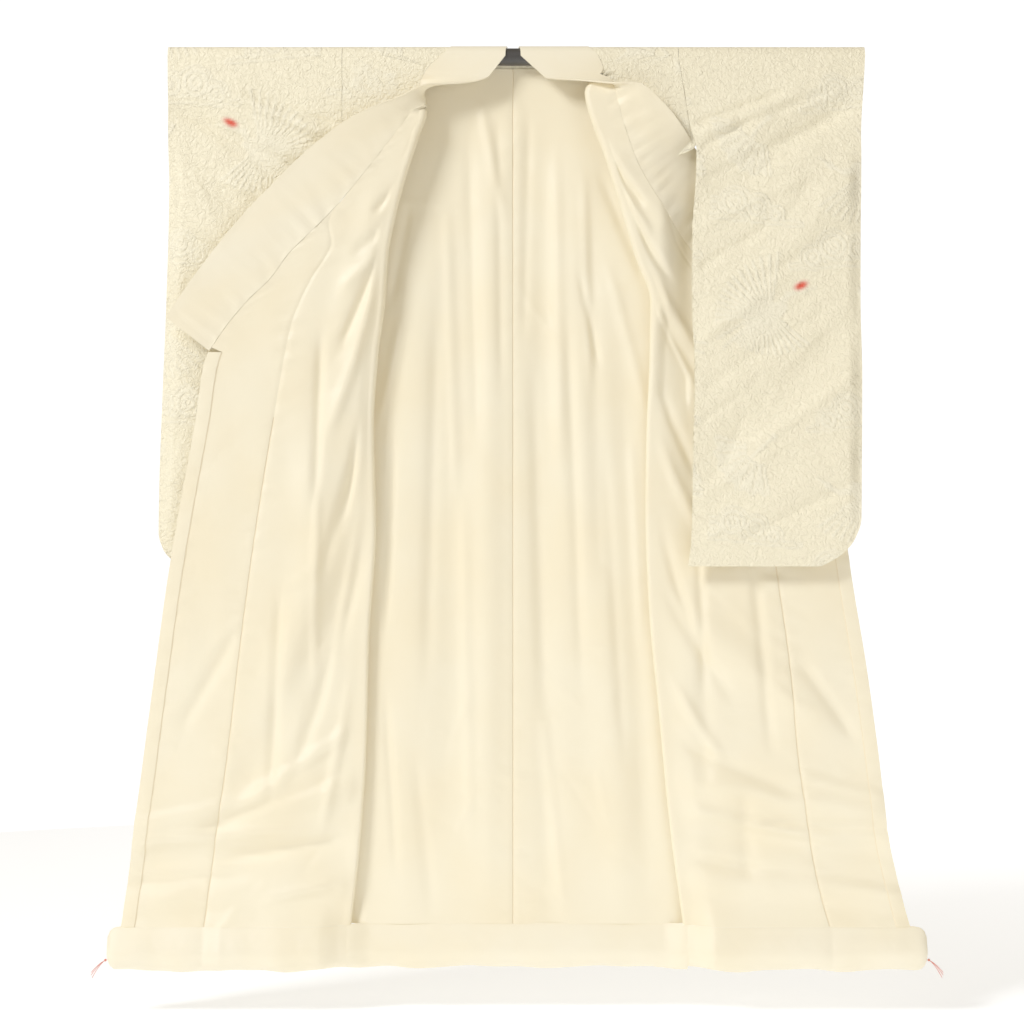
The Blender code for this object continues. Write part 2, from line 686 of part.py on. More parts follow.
def add_hem_roll(name, side, stations):
    """A padded roll lofted through its stations: distance out, depth, size and bottom drop."""
    rings = []
    for out, y, size, drop in stations:
        section = hem_section(HEM_BULGE_FRONT * size, HEM_BULGE_BACK * size, HEM_HEIGHT * size + drop)
        top = PANEL_BOTTOM - GAP - HEM_HEIGHT * (1 - size) * 0.5
        rings.append([(out * side, y + depth, top + down) for depth, down in section])
    shell = bmesh.new()
    loops = []
    for ring in rings:
        verts = [shell.verts.new([value * MM for value in place]) for place in ring]
        edges = [shell.edges.new((verts[i], verts[(i + 1) % HEM_SIDES])) for i in range(HEM_SIDES)]
        loops.append((verts, edges))
    for (_, first), (_, second) in zip(loops[:-1], loops[1:]):
        bmesh.ops.bridge_loops(shell, edges=first + second)
    for verts, _ in (loops[0], loops[-1]):
        shell.faces.new(verts)
    bmesh.ops.triangulate(shell, faces=shell.faces[:])
    bmesh.ops.recalc_face_normals(shell, faces=shell.faces[:])
    mesh = bpy.data.meshes.new(name)
    shell.to_mesh(mesh)
    shell.free()
    mesh.materials.append(outer_cloth)
    mesh.shade_smooth()
    collection.objects.link(bpy.data.objects.new(name, mesh))


def front_hem_stations(sheet, wide_end):
    """The roll under one front: its depth follows the panels' lowest row, and its end is rounded."""
    last = sheet[-1]
    first = SIDE_TURN + HIDDEN + FOLD_TURN // 2
    outs = last[first:, 0]
    depths = last[first:, 1]
    stations = []
    for out in np.linspace(outs[0] + 1, wide_end - 26, 14):
        depth = float(np.interp(out, outs[1:], depths[1:]))
        wave = 2.5 * math.sin(out / 31.0)
        stations.append((out, depth, 1.0, wave))
    tail = stations[-1][1]
    for inward, size in ((14, 0.96), (5, 0.82), (0, 0.55)):
        stations.append((wide_end - inward, tail, size, 0.0))
    return stations


def add_corner_thread(word, side, out, z, y):
    """The loose ends of the coloured thread at a hem corner: a knot with strands fused to it."""
    strands = []
    for lean, drop in ((0.75, 34.0), (0.95, 29.0), (1.15, 24.0)):
        strands.append(((out, y, z), (out + lean * drop * 0.5, y, z - drop * 0.35),
                        (out + lean * drop, y - 1.0, z - drop)))
    shell_objects = []
    for index, places in enumerate(strands):
        curve = bpy.data.curves.new(f"strand_{word}_{index}", "CURVE")
        curve.dimensions = "3D"
        curve.bevel_depth = 1.1 * MM
        curve.bevel_resolution = 0
        curve.use_fill_caps = True
        spline = curve.splines.new("POLY")
        spline.points.add(len(places) - 1)
        for point, place in zip(spline.points, places):
            point.co = (place[0] * side * MM, place[1] * MM, place[2] * MM, 1.0)
        strand = bpy.data.objects.new(curve.name, curve)
        collection.objects.link(strand)
        shell_objects.append(strand)
    bpy.context.view_layer.update()
    graph = bpy.context.evaluated_depsgraph_get()
    pieces = []
    for strand in shell_objects:
        mesh = bpy.data.meshes.new_from_object(strand.evaluated_get(graph))
        cleaned = bmesh.new()
        cleaned.from_mesh(mesh)
        bmesh.ops.remove_doubles(cleaned, verts=cleaned.verts[:], dist=0.00001)
        bmesh.ops.recalc_face_normals(cleaned, faces=cleaned.faces[:])
        cleaned.to_mesh(mesh)
        cleaned.free()
        piece = bpy.data.objects.new(strand.name + "_solid", mesh)
        piece.hide_render = True
        piece.display_type = "WIRE"
        cutters.objects.link(piece)
        pieces.append(piece)
        bpy.data.objects.remove(strand, do_unlink=True)
    bpy.ops.mesh.primitive_uv_sphere_add(segments=10, ring_count=6, radius=2.6 * MM)
    knot = bpy.context.object
    knot.name = f"corner_thread_{word}"
    knot.location = (out * side * MM, y * MM, z * MM)
    for owner in knot.users_collection:
        owner.objects.unlink(knot)
    collection.objects.link(knot)
    knot.data.materials.append(thread_finish)
    for piece in pieces:
        union = knot.modifiers.new(piece.name, "BOOLEAN")
        union.operation = "UNION"
        union.object = piece


clear_scene()
collection = bpy.data.collections.new("uchikake_kimono")
cutters = bpy.data.collections.new("thread_strands")
bpy.context.scene.collection.children.link(collection)
bpy.context.scene.collection.children.link(cutters)

outer_cloth = make_material("figured_ivory_silk", IVORY, 0.45)
lining_cloth = make_material("cream_lining_silk", CREAM, 0.4)
collar_cloth = make_material("plain_white_silk", PLAIN_WHITE, 0.45)
rod_finish = make_material("dark_rod", ROD_BLACK, 0.35)
thread_finish = make_material("red_thread", THREAD_RED, 0.6)

add_rod()
for word, side, table, folds, collar, seams in (
    ("right", -1, RIGHT_FRONT, RIGHT_FRONT_FOLDS, RIGHT_COLLAR, RIGHT_SEAMS),
    ("left", 1, LEFT_FRONT, LEFT_FRONT_FOLDS, LEFT_COLLAR, LEFT_SEAMS),
):
    front = build_front(word, side, table, folds, collar, seams)
    build_back(word, side, table)
    build_collar(word, side, table, front, collar)
    wide_end = 784.0 if word == "right" else 800.0
    stations = front_hem_stations(front, wide_end)
    add_hem_roll(f"hem_roll_{word}", side, stations)
    add_corner_thread(word, side, wide_end + 2.9, HEM_BOTTOM + 20, stations[-1][1] - 8)
build_sleeve("right", -1, RIGHT_SLEEVE, RIGHT_FRONT)
build_sleeve("left", 1, LEFT_SLEEVE, LEFT_FRONT)
build_back_collar()
add_hem_roll("hem_roll_back", 1, [
    (out, 12.0, 1.0, 2.0 * math.sin(out / 40.0)) for out in np.linspace(-312, 328, 13)
])
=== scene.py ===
# %% [markdown]
# # A padded uchikake hung open on a rod
#
# An uchikake is the open robe worn over a bridal kimono. It is sewn from straight lengths of figured
# silk, lined with plain silk, and trails on a padded roll. Here it hangs by its sleeves from a round
# rod, with both fronts turned out like lapels, so that the cream lining shows. Right and left are the
# wearer's: the right half lies on the -X side. The front faces -Y and +Z is up.
#
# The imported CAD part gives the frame. Its cloth is in plain, faceted walls. This script builds each
# piece again on nearly the same sizes, with many more rows and columns, and adds the creases, puckers,
# weave and light that make it look like silk.

# %% Load the frame
import math

import bmesh
import bpy
import numpy as np
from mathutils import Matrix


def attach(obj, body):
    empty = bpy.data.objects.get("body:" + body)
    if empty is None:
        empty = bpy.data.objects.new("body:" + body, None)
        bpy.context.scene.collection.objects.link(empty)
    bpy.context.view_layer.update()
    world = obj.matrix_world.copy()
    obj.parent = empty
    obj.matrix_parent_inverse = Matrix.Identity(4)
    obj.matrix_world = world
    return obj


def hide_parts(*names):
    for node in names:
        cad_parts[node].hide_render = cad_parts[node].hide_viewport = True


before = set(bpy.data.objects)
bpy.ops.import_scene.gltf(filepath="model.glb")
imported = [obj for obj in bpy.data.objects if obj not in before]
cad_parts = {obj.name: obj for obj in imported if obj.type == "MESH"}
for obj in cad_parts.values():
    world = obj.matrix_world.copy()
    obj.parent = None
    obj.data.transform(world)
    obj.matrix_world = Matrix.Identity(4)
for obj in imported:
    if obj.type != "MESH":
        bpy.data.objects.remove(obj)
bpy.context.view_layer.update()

# %% [markdown]
# The sizes follow the CAD model's, in millimetres, and one factor turns them into Blender's metres. The
# left front has rows of its own near the neck, where its folds start close together.
# Each table has a row for each height and named columns. A smooth curve through its rows gives the
# place of every edge, seam and fold at any height between them, so a finer grid needs no more numbers.

# %% Sizes of the garment
MM = 0.001
ROD_RADIUS = 17.0
GAP = 0.3
OUTER_WALL = 1.6
LINING_WALL = 1.2
COLLAR_WALL = 3.0
COLLAR_BACK_EASE = 4.6
EDGE_WALL = 4.2
WRAP_RADIUS = (ROD_RADIUS + GAP) / math.cos(math.radians(15))
PANEL_BOTTOM = -1690.0
HEM_BOTTOM = -1772.0
LINING_TOP = -50.0
OKUMI_TOP = -300.0
COLLAR_END = -576.0
EDGE_STRIP = 27.0
SLEEVE_BOTTOM = -992.0
SLEEVE_JOIN = -140.0
CUFF_BOTTOM = -190.0
BACK_EDGE_PULL = 16.0
LIP_DEPTH = 8.0
LEAST_FOLD = 2.6
LEAST_TURN = 2.5
NECK_EASE = 19.8
COLLAR_SEAM_GAP = 0.3
FOLD_OPENS_OVER = 30.0

# Columns of the fronts: the height, the side edge of the front and of the back, the edge where the
# front turns over, the depth behind that edge and in front of it, the depth of the back, and the
# depth far out towards the front edge.
FRONT_COLUMNS = ("z", "side", "back_side", "fold", "hidden_y", "turned_y", "back_y", "far_y")
RIGHT_FRONT = (
    (19, 332, 332, 118, -19, -19, 19, -40),
    (0, 332, 332, 140, -19, -19, 19, -42),
    (-30, 332, 332, 168, -20, -22, 20, -44),
    (-60, 332, 332, 178, -20, -30, 20, -45),
    (-85, 332, 332, 170, -20, -38, 20, -46),
    (-106, 332, 332, 167, -21, -40, 20, -46),
    (-162, 332, 332, 184, -22, -41, 20, -46),
    (-230, 326, 330, 206, -22, -41, 19, -46),
    (-315, 314, 320, 229, -20, -40, 18, -46),
    (-390, 306, 306, 243, -16, -38, 17, -46),
    (-487, 298, 298, 250, -13, -34, 16, -46),
    (-584, 290, 290, 263, -10, -30, 15, -46),
    (-720, 288, 288, 272, -6, -24, 14, -45),
    (-920, 284, 284, 268, -2, -18, 13, -43),
    (-1127, 295, 295, 281, 0, -14, 12, -32),
    (-1351, 301, 301, 287, 0, -13, 12, -26),
    (-1520, 312, 312, 298, 0, -13, 12, -24),
    (-1690, 330, 330, 316, 0, -13, 12, -22),
)
LEFT_FRONT = (
    (19, 321, 321, 155, -19, -19, 19, 10),
    (0, 321, 321, 166, -19, -20, 19, 14),
    (-30, 325.7, 325.7, 174, -20, -25, 20, 12),
    (-50, 328.8, 328.8, 154, -20, -31, 20, 14),
    (-72, 332.3, 332.3, 140, -21, -38, 20, 16),
    (-100, 336.8, 336.8, 144, -21, -40, 20, 16),
    (-140, 344, 343, 157, -20, -41, 20, 16),
    (-155, 352, 340, 162, -17, -41, 20, 16),
    (-172, 357, 334, 169, -17, -41, 20, 16),
    (-185, 346, 328, 174, -19, -41, 20, 16),
    (-205, 290, 326, 181, -22, -41, 20, 16),
    (-222, 278, 322, 186, -22, -41, 19, 16),
    (-295, 276, 308, 209, -20, -40, 18, 12),
    (-390, 283, 283, 238, -14, -36, 17, 6),
    (-480, 285, 285, 268, -8, -26, 16, -2),
    (-585, 282, 282, 267, 0, -14, 15, -2),
    (-735, 276, 276, 261, 1, -12, 14, -4),
    (-883, 274, 274, 259, 1, -12, 13, -7),
    (-1059, 279, 279, 265, 1, -12, 12, -14),
    (-1279, 299, 299, 285, 0, -13, 12, -20),
    (-1496, 320, 320, 306, 0, -13, 12, -20),
    (-1690, 346, 346, 332, 0, -13, 12, -20),
)

# Height against the distance out of the seam between the front panel and the okumi, and of the front edge.
SEAM_COLUMNS = ("z", "okumi_seam", "edge")
RIGHT_SEAMS = (
    (-290, 337, 400),
    (-372, 352, 450),
    (-440, 392, 500),
    (-523, 428, 560),
    (-603, 445, 597),
    (-709, 463, 613),
    (-860, 488, 641),
    (-1042, 515, 672),
    (-1182, 533, 692),
    (-1358, 554, 716),
    (-1548, 581, 741),
    (-1690, 598, 758),
)
LEFT_SEAMS = (
    (-290, 285, 400),
    (-372, 322, 450),
    (-440, 372, 500),
    (-523, 420, 560),
    (-603, 446, 600),
    (-709, 466, 616),
    (-860, 490, 638),
    (-1010, 514, 658),
    (-1185, 538, 686),
    (-1353, 553, 709),
    (-1503, 574, 727),
    (-1600, 590, 746),
    (-1690, 613, 768),
)

# The collar, a row for each section across it: the height and place of its seam, then its free edge.
COLLAR_COLUMNS = ("z", "seam", "free", "free_z", "free_y")
RIGHT_COLLAR = (
    (0, 138, 31, -16, -22),
    (-20, 160, 47, -42, -26),
    (-40, 174, 84, -54, -32),
    (-60, 180, 128, -58, -40),
    (-80, 181, 168, -61, -52),
    (-100, 188, 214, -84, -60),
    (-125, 206, 262, -102, -60),
    (-150, 225, 298, -118, -58),
    (-180, 248, 334, -139, -56),
    (-215, 275, 366, -163, -54),
    (-255, 307, 396, -188, -54),
    (-300, 345, 433, -222, -54),
    (-345, 390, 472, -262, -54),
    (-390, 435, 515, -306, -54),
    (-435, 468, 559, -358, -54),
    (-480, 514, 595, -404, -54),
    (-528, 554, 640, -466, -54),
    (-576, 587, 670, -511, -54),
)
LEFT_COLLAR = (
    (0, 168, 14, -20, -22),
    (-20, 178, 64, -46, -28),
    (-40, 188, 128, -51, -38),
    (-60, 196, 196, -59, -54),
    (-80, 201, 238, -58, -56),
    (-100, 205, 262, -70, -54),
    (-125, 211, 284, -90, -50),
    (-150, 219, 302, -108, -46),
    (-180, 229, 318, -128, -42),
    (-215, 243, 336, -152, -30),
    (-255, 265, 352, -176, -6),
    (-300, 294, 384, -206, 14),
    (-345, 324, 416, -240, 17),
    (-390, 362, 452, -280, 17),
    (-435, 408, 496, -326, 15),
    (-480, 462, 546, -380, 12),
    (-528, 530, 604, -436, 8),
    (-576, 590, 655, -498, 6),
)

# The sleeves: height, inner edge, outer edge, depth of the front wall and of the back wall.
SLEEVE_COLUMNS = ("z", "inner", "outer", "front_y", "back_y")
RIGHT_SLEEVE = (
    (0, 332, 671, -19, 19),
    (-140, 332, 670, -20, 18),
    (-200, 334, 669, -20, 17),
    (-300, 340, 670, -19, 15),
    (-475, 345, 675, -18, 12),
    (-675, 348, 683, -17, 9),
    (-850, 350, 689, -15, 7),
    (-927, 350, 690, -13, 4),
    (-960, 350, 681, -11, 1),
    (-980, 350, 664, -9, -2),
    (-992, 350, 636, -7, -4),
)
LEFT_SLEEVE = (
    (0, 321, 684, -19, 19),
    (-92, 335.5, 679, -20, 18),
    (-140, 343, 676, -22, 14),
    (-180, 355, 675, -28, -1),
    (-230, 354, 675, -36, -14),
    (-334, 347, 673, -44, -24),
    (-477, 346, 672, -50, -28),
    (-620, 351, 675, -52, -29),
    (-800, 347, 674, -54, -32),
    (-900, 346, 673, -53, -36),
    (-940, 344, 660, -50, -39),
    (-970, 341, 634, -47, -41),
    (-992, 338, 596, -46, -43),
)

# The largest folds, as ridges (a depth under 0 stands nearer to a viewer) along lines on the cloth.
# Each row: distance out and height of both ends, the width to one side, and the depth.
BACK_FOLDS = (
    (-40, -120, -52, -1600, 26, -6),
    (-110, -300, -125, -1500, 34, 6),
    (-190, -420, -215, -1650, 40, -5),
    (55, -260, 70, -1640, 26, 7),
    (120, -180, 215, -1640, 34, -7),
    (150, -340, 170, -1000, 18, 7),
    (215, -620, 262, -1560, 22, 5),
    (10, -80, 12, -180, 34, -4),
)
RIGHT_FRONT_FOLDS = (
    (255, -260, 350, -560, 26, -6),
    (262, -420, 400, -880, 34, -9),
    (275, -640, 470, -1300, 36, -10),
    (300, -980, 560, -1500, 34, 8),
    (300, -1420, 740, -1490, 26, -11),
    (320, -1540, 730, -1570, 22, 9),
    (310, -1615, 745, -1640, 20, -9),
)
LEFT_FRONT_FOLDS = (
    (190, -200, 300, -330, 20, -5),
    (370, -1180, 372, -1430, 18, 5),
    (450, -1440, 458, -1600, 18, 5),
    (330, -1080, 620, -1310, 34, -9),
    (340, -1410, 720, -1470, 26, -12),
    (350, -1510, 730, -1550, 22, 9),
    (350, -1600, 750, -1640, 20, -9),
)
SLEEVE_FOLDS = (
    (350, -150, 640, -20, 24, -6),
    (360, -290, 660, -90, 26, 7),
    (370, -560, 665, -230, 34, -7),
    (370, -800, 660, -520, 38, 8),
    (400, -930, 660, -770, 34, -6),
)

# %% [markdown]
# Reading a table between its rows needs a curve that never swings past them, or a straight edge would
# wave. Slopes that are the harmonic mean of the two neighbouring ones do that.

# %% Read a table at any height
def smooth_step(low, high, value):
    share = np.clip((value - low) / (high - low), 0.0, 1.0)
    return share * share * (3.0 - 2.0 * share)


def read_column(table, columns, name, key):
    rows = np.array(sorted(table), float)
    places = rows[:, 0]
    values = rows[:, columns.index(name)]
    steps = np.diff(places)
    slopes = np.diff(values) / steps
    tangents = np.zeros(len(values))
    same_way = slopes[:-1] * slopes[1:] > 0
    harmonic = 2.0 * slopes[:-1] * slopes[1:] / np.where(same_way, slopes[:-1] + slopes[1:], 1.0)
    tangents[1:-1] = np.where(same_way, harmonic, 0.0)
    tangents[0] = slopes[0]
    tangents[-1] = slopes[-1]
    key = np.clip(np.asarray(key, float), places[0], places[-1])
    index = np.clip(np.searchsorted(places, key) - 1, 0, len(steps) - 1)
    step = steps[index]
    t = (key - places[index]) / step
    return (
        values[index] * (1 + 2 * t) * (1 - t) ** 2
        + values[index + 1] * t * t * (3 - 2 * t)
        + tangents[index] * step * t * (1 - t) ** 2
        - tangents[index + 1] * step * t * t * (1 - t)
    )


def read_row(table, columns, z):
    return {name: float(read_column(table, columns, name, z)) for name in columns[1:]}


print("right fold edge at mid height:", read_row(RIGHT_FRONT, FRONT_COLUMNS, -845)["fold"], "mm")

# %% [markdown]
# Silk over thin padding falls in soft troughs and ridges. Each is a bump with a rounded section along a
# line on the cloth, and fades out at both ends. Real ones differ in length, width and depth, so they
# are listed one by one in tables. A sum of a few waves with fixed phases adds the slight unevenness
# that no two places share, and the same waves come back on every run.

# %% Creases and unevenness
def relief(folds, out, z):
    total = np.zeros(np.broadcast(out, z).shape)
    for out_a, z_a, out_b, z_b, width, depth in folds:
        along_out = out_b - out_a
        along_z = z_b - z_a
        length = math.hypot(along_out, along_z)
        share = ((out - out_a) * along_out + (z - z_a) * along_z) / length**2
        across = ((out - out_a) * along_z - (z - z_a) * along_out) / length
        ends = smooth_step(-0.15, 0.15, share) * (1.0 - smooth_step(0.85, 1.15, share))
        total = total + depth * ends * np.exp(-((across / width) ** 2))
    return total


def uneven(out, z, size, seed, stretch=1.0):
    """A gentle unevenness between about -1 and 1, its waves about size across and stretch times as tall."""
    draw = np.random.default_rng(seed)
    total = np.zeros(np.broadcast(out, z).shape)
    for _ in range(7):
        heading = draw.uniform(0, 2 * math.pi)
        length = size * draw.uniform(0.7, 1.6)
        phase = draw.uniform(0, 2 * math.pi)
        run = out * math.cos(heading) + z * math.sin(heading) / stretch
        total = total + np.sin(run * 2 * math.pi / length + phase)
    return total / 3.5


def puckers(distance, along, reach, size, seed):
    """Small gathers along a seam: strongest at the stitches, and gone at reach from them."""
    draw = np.random.default_rng(seed)
    waves = np.zeros(np.broadcast(distance, along).shape)
    for _ in range(5):
        length = size * draw.uniform(0.6, 1.7)
        lean = draw.uniform(-0.5, 0.5)
        waves = waves + np.sin((along + lean * distance) * 2 * math.pi / length + draw.uniform(0, 6.28))
    near = np.exp(-((distance / reach) ** 2))
    return near * waves / 2.4


def small_creases(seed, count, outs, heights, heading, spread):
    """Rows like a crease table's, for the many short faint creases between the placed ones."""
    draw = np.random.default_rng(seed)
    rows = []
    for _ in range(count):
        out, z = draw.uniform(*outs), draw.uniform(*heights)
        turn = math.radians(heading + draw.normal(0, spread))
        length = draw.uniform(35, 150)
        depth = draw.uniform(0.7, 2.0) * draw.choice((-1, 1))
        far_out, far_z = out + length * math.cos(turn), z + length * math.sin(turn)
        rows.append((out, z, far_out, far_z, draw.uniform(5, 10), depth))
    return rows


CREASE_DEPTH = 3.0
SLEEVE_CREASE_DEPTH = 1.9
RIGHT_SMALL = small_creases(201, 70, (280, 700), (-1670, -480), -12, 22)
LEFT_SMALL = small_creases(202, 75, (270, 700), (-1670, -330), -14, 22)
BACK_SMALL = small_creases(203, 55, (-270, 220), (-1660, -260), -4, 30)
SLEEVE_SMALL = small_creases(204, 45, (350, 600), (-960, -120), 30, 20)
BACK_CREASES = (
    (-62, -95, -20, -300, 10, -2.6),
    (-30, -150, -24, -620, 9, 2.0),
    (-86, -180, -70, -700, 12, 2.4),
    (-128, -330, -112, -820, 11, -2.2),
    (-150, -520, -168, -1180, 14, 2.6),
    (-205, -300, -236, -470, 10, 2.4),
    (-222, -520, -258, -700, 9, -2.0),
    (-236, -760, -250, -1100, 10, 2.2),
    (-248, -1260, -228, -1570, 9, 2.4),
    (-96, -900, -84, -1500, 12, -1.8),
    (30, -130, 22, -520, 10, 2.2),
    (84, -220, 92, -760, 12, -2.6),
    (40, -640, 58, -1240, 14, 2.4),
    (110, -560, 132, -1180, 11, 2.6),
    (138, -250, 150, -620, 9, -2.2),
    (132, -430, 166, -590, 8, 3.0),
    (176, -240, 258, -430, 10, 2.6),
    (190, -420, 262, -690, 11, -2.4),
    (182, -800, 214, -1330, 12, 2.2),
    (232, -760, 250, -1120, 9, -2.0),
    (60, -1300, 96, -1640, 12, -2.0),
    (-190, -1380, -160, -1650, 13, 1.8),
)
RIGHT_CREASES = (
    (206, -252, 268, -304, 9, 2.6),
    (204, -280, 256, -352, 8, -2.4),
    (222, -322, 306, -384, 10, 2.2),
    (238, -372, 330, -452, 11, -2.0),
    (182, -140, 236, -330, 8, 2.4),
    (202, -215, 262, -420, 9, -2.6),
    (232, -330, 330, -560, 10, 2.8),
    (246, -420, 352, -720, 12, -2.4),
    (252, -520, 330, -900, 10, 2.6),
    (262, -640, 372, -1010, 12, 2.2),
    (268, -780, 352, -1200, 11, -2.6),
    (280, -960, 420, -1380, 14, 2.8),
    (286, -1100, 366, -1480, 11, -2.2),
    (372, -560, 382, -860, 10, 2.6),
    (378, -840, 386, -1180, 9, -1.8),
    (452, -1060, 470, -1420, 11, 2.4),
    (300, -1300, 520, -1450, 12, -2.8),
    (340, -1400, 600, -1500, 11, 3.0),
    (420, -1500, 740, -1530, 10, -2.8),
    (310, -1520, 560, -1560, 9, 2.6),
    (520, -1590, 745, -1610, 9, 2.4),
    (320, -1600, 480, -1640, 8, -2.2),
    (560, -1440, 720, -1470, 9, 2.0),
    (540, -1130, 640, -1300, 14, 2.0),
)
LEFT_CREASES = (
    (186, -205, 250, -290, 8, 2.6),
    (196, -250, 262, -340, 9, -2.4),
    (214, -300, 300, -430, 9, 2.8),
    (246, -400, 350, -560, 10, -2.4),
    (262, -470, 372, -640, 11, 2.6),
    (268, -620, 360, -820, 10, 2.4),
    (264, -720, 382, -960, 12, -2.4),
    (262, -860, 350, -1120, 11, 2.6),
    (268, -1010, 420, -1240, 13, 2.4),
    (282, -1180, 400, -1360, 11, -2.6),
    (420, -640, 438, -980, 11, -2.0),
    (360, -900, 372, -1220, 10, 2.2),
    (470, -1000, 500, -1330, 12, 2.2),
    (310, -1330, 560, -1440, 12, 2.8),
    (330, -1460, 640, -1530, 10, -3.0),
    (420, -1480, 740, -1505, 9, 2.8),
    (340, -1560, 560, -1600, 9, 2.6),
    (480, -1590, 750, -1625, 9, -2.8),
    (560, -1400, 720, -1440, 10, -2.2),
    (560, -1180, 660, -1320, 13, 2.0),
)
SLEEVE_CREASES = (
    (345, -138, 520, -72, 8, -3.2),
    (350, -160, 600, -60, 9, 2.6),
    (352, -190, 470, -120, 7, -2.2),
    (360, -250, 640, -110, 12, -2.8),
    (372, -330, 560, -240, 10, 2.4),
    (352, -420, 500, -330, 9, -2.4),
    (420, -470, 665, -330, 14, -2.8),
    (352, -560, 470, -480, 9, 2.2),
    (380, -640, 600, -500, 13, -2.4),
    (352, -720, 440, -660, 8, -2.2),
    (470, -760, 665, -620, 13, 2.6),
    (356, -860, 520, -760, 10, 2.4),
    (440, -940, 640, -840, 10, -2.4),
    (360, -950, 420, -900, 8, 2.0),
    (520, -120, 640, -70, 9, 2.0),
)
print("hand-placed creases:",
      len(BACK_CREASES) + len(RIGHT_CREASES) + len(LEFT_CREASES) + len(SLEEVE_CREASES))

# %% [markdown]
# A turned-out front is one sheet. In a level slice it starts at the side seam, runs hidden towards the
# middle, turns round the fold and comes back over itself to the okumi and the front edge. The
# slice is drawn as a line, then cut into the same number of columns at every height, so the columns
# follow the cloth down the garment. The outer silk and the lining share this sheet, a little apart.

# %% The sheet of a turned-out front
SIDE_TURN, HIDDEN, FOLD_TURN, TURNED = 5, 12, 12, 58
OKUMI, STRIP = 44, 7
PANEL_COLUMNS = SIDE_TURN + HIDDEN + FOLD_TURN + TURNED + 1
OKUMI_SEAM_AT = PANEL_COLUMNS - 1
FLAT_SIDE = 4.8
FLAT_POINTS = 17
LEAST_LEG = 15.0
LEAST_FOLD_LEG = 12.0
LEAST_HIDDEN_LEG = 6.0
ROW_STEP = 9.0
BODY_HEIGHTS = np.concatenate([np.arange(-20.0, PANEL_BOTTOM, -ROW_STEP), [PANEL_BOTTOM]])


def unit(vectors):
    return vectors / np.maximum(np.linalg.norm(vectors, axis=-1, keepdims=True), 1e-9)


def sheet_normals(points, passes=2):
    normals = unit(np.cross(np.gradient(points, axis=0), np.gradient(points, axis=1)))
    for _ in range(passes):
        wide = np.pad(normals, ((1, 1), (1, 1), (0, 0)), mode="edge")
        around = wide[:-2, 1:-1] + wide[2:, 1:-1] + wide[1:-1, :-2] + wide[1:-1, 2:]
        normals = unit(normals + around / 4.0)
    return normals


def turned_depth(front, folds, out, z, fold):
    near = read_column(front, FRONT_COLUMNS, "turned_y", z)
    far = read_column(front, FRONT_COLUMNS, "far_y", z)
    if front is LEFT_FRONT:
        share = smooth_step(max(fold + 15, 282), max(fold + 60, 350), out)
        lip = LIP_DEPTH * smooth_step(-470, -500, z) * (1 - smooth_step(-640, -700, z))
        lip_line = np.interp(-z, (477, 624), (270, 342))
        lip = lip * (1 - smooth_step(lip_line - 5, lip_line + 5, out))
    else:
        share = smooth_step(fold + 10, fold + 150, out)
        lip = 0.0
    calm = smooth_step(0, 30, out - fold) * smooth_step(0, 60, -z - 90)
    return near + (far - near) * share + lip + calm * relief(folds, out, z)


def front_slice(front, folds, z, end):
    row = read_row(front, FRONT_COLUMNS, z)
    fold = min(row["fold"], end)
    radius = max(LEAST_FOLD, (row["hidden_y"] - row["turned_y"]) / 2)
    whole_turn = math.pi * float(smooth_step(0.0, FOLD_OPENS_OVER, end - fold))
    joined = float(smooth_step(320, 490, -z))
    side_radius = max(1.5, (row["back_y"] - row["hidden_y"]) / 2)
    turn = np.linspace(0, math.pi, 17)
    round_side = np.column_stack([
        row["side"] + side_radius * np.sin(turn), row["back_y"] - side_radius * (1 - np.cos(turn)),
    ])
    flat_side = np.column_stack([
        np.linspace(row["side"], row["side"] - FLAT_SIDE, FLAT_POINTS), np.full(FLAT_POINTS, row["hidden_y"])])
    side_edge = round_side * joined + flat_side * (1 - joined)
    middle = fold + radius
    hidden_outs = np.linspace(side_edge[-1, 0], middle, 10)[1:]
    hidden = np.column_stack([hidden_outs, np.full(9, row["hidden_y"])])
    turn = np.linspace(0, whole_turn, 25)[1:]
    round_fold = np.column_stack([
        middle - radius * np.sin(turn), row["hidden_y"] - radius * (1 - np.cos(turn))])
    stretches = [side_edge, hidden, round_fold]
    if end > middle + 0.5 and whole_turn > LEAST_TURN:
        outs = np.linspace(middle, end, 121)[1:]
        depths = turned_depth(front, folds, outs, z, fold)
        from_fold = round_fold[-1, 1] + depths - turned_depth(front, folds, middle, z, fold)
        blend = smooth_step(0, 25, outs - middle)
        stretches.append(np.column_stack([outs, depths * blend + from_fold * (1 - blend)]))
    line = np.vstack(stretches)
    lengths = np.concatenate([[0.0], np.cumsum(np.linalg.norm(np.diff(line, axis=0), axis=1))])
    total = lengths[-1]
    last = min(lengths[17 + 9 + 24 - 1], total - LEAST_LEG)
    before_fold = min(lengths[17 + 9 - 1], last - LEAST_FOLD_LEG)
    first = min(lengths[16], before_fold - LEAST_HIDDEN_LEG)
    stations = np.concatenate([
        np.linspace(0, first, SIDE_TURN + 1)[:-1],
        np.linspace(first, before_fold, HIDDEN + 1)[:-1],
        np.linspace(before_fold, last, FOLD_TURN + 1)[:-1],
        np.linspace(last, total, TURNED + 1),
    ])
    return np.column_stack([np.interp(stations, lengths, line[:, axis]) for axis in range(2)])


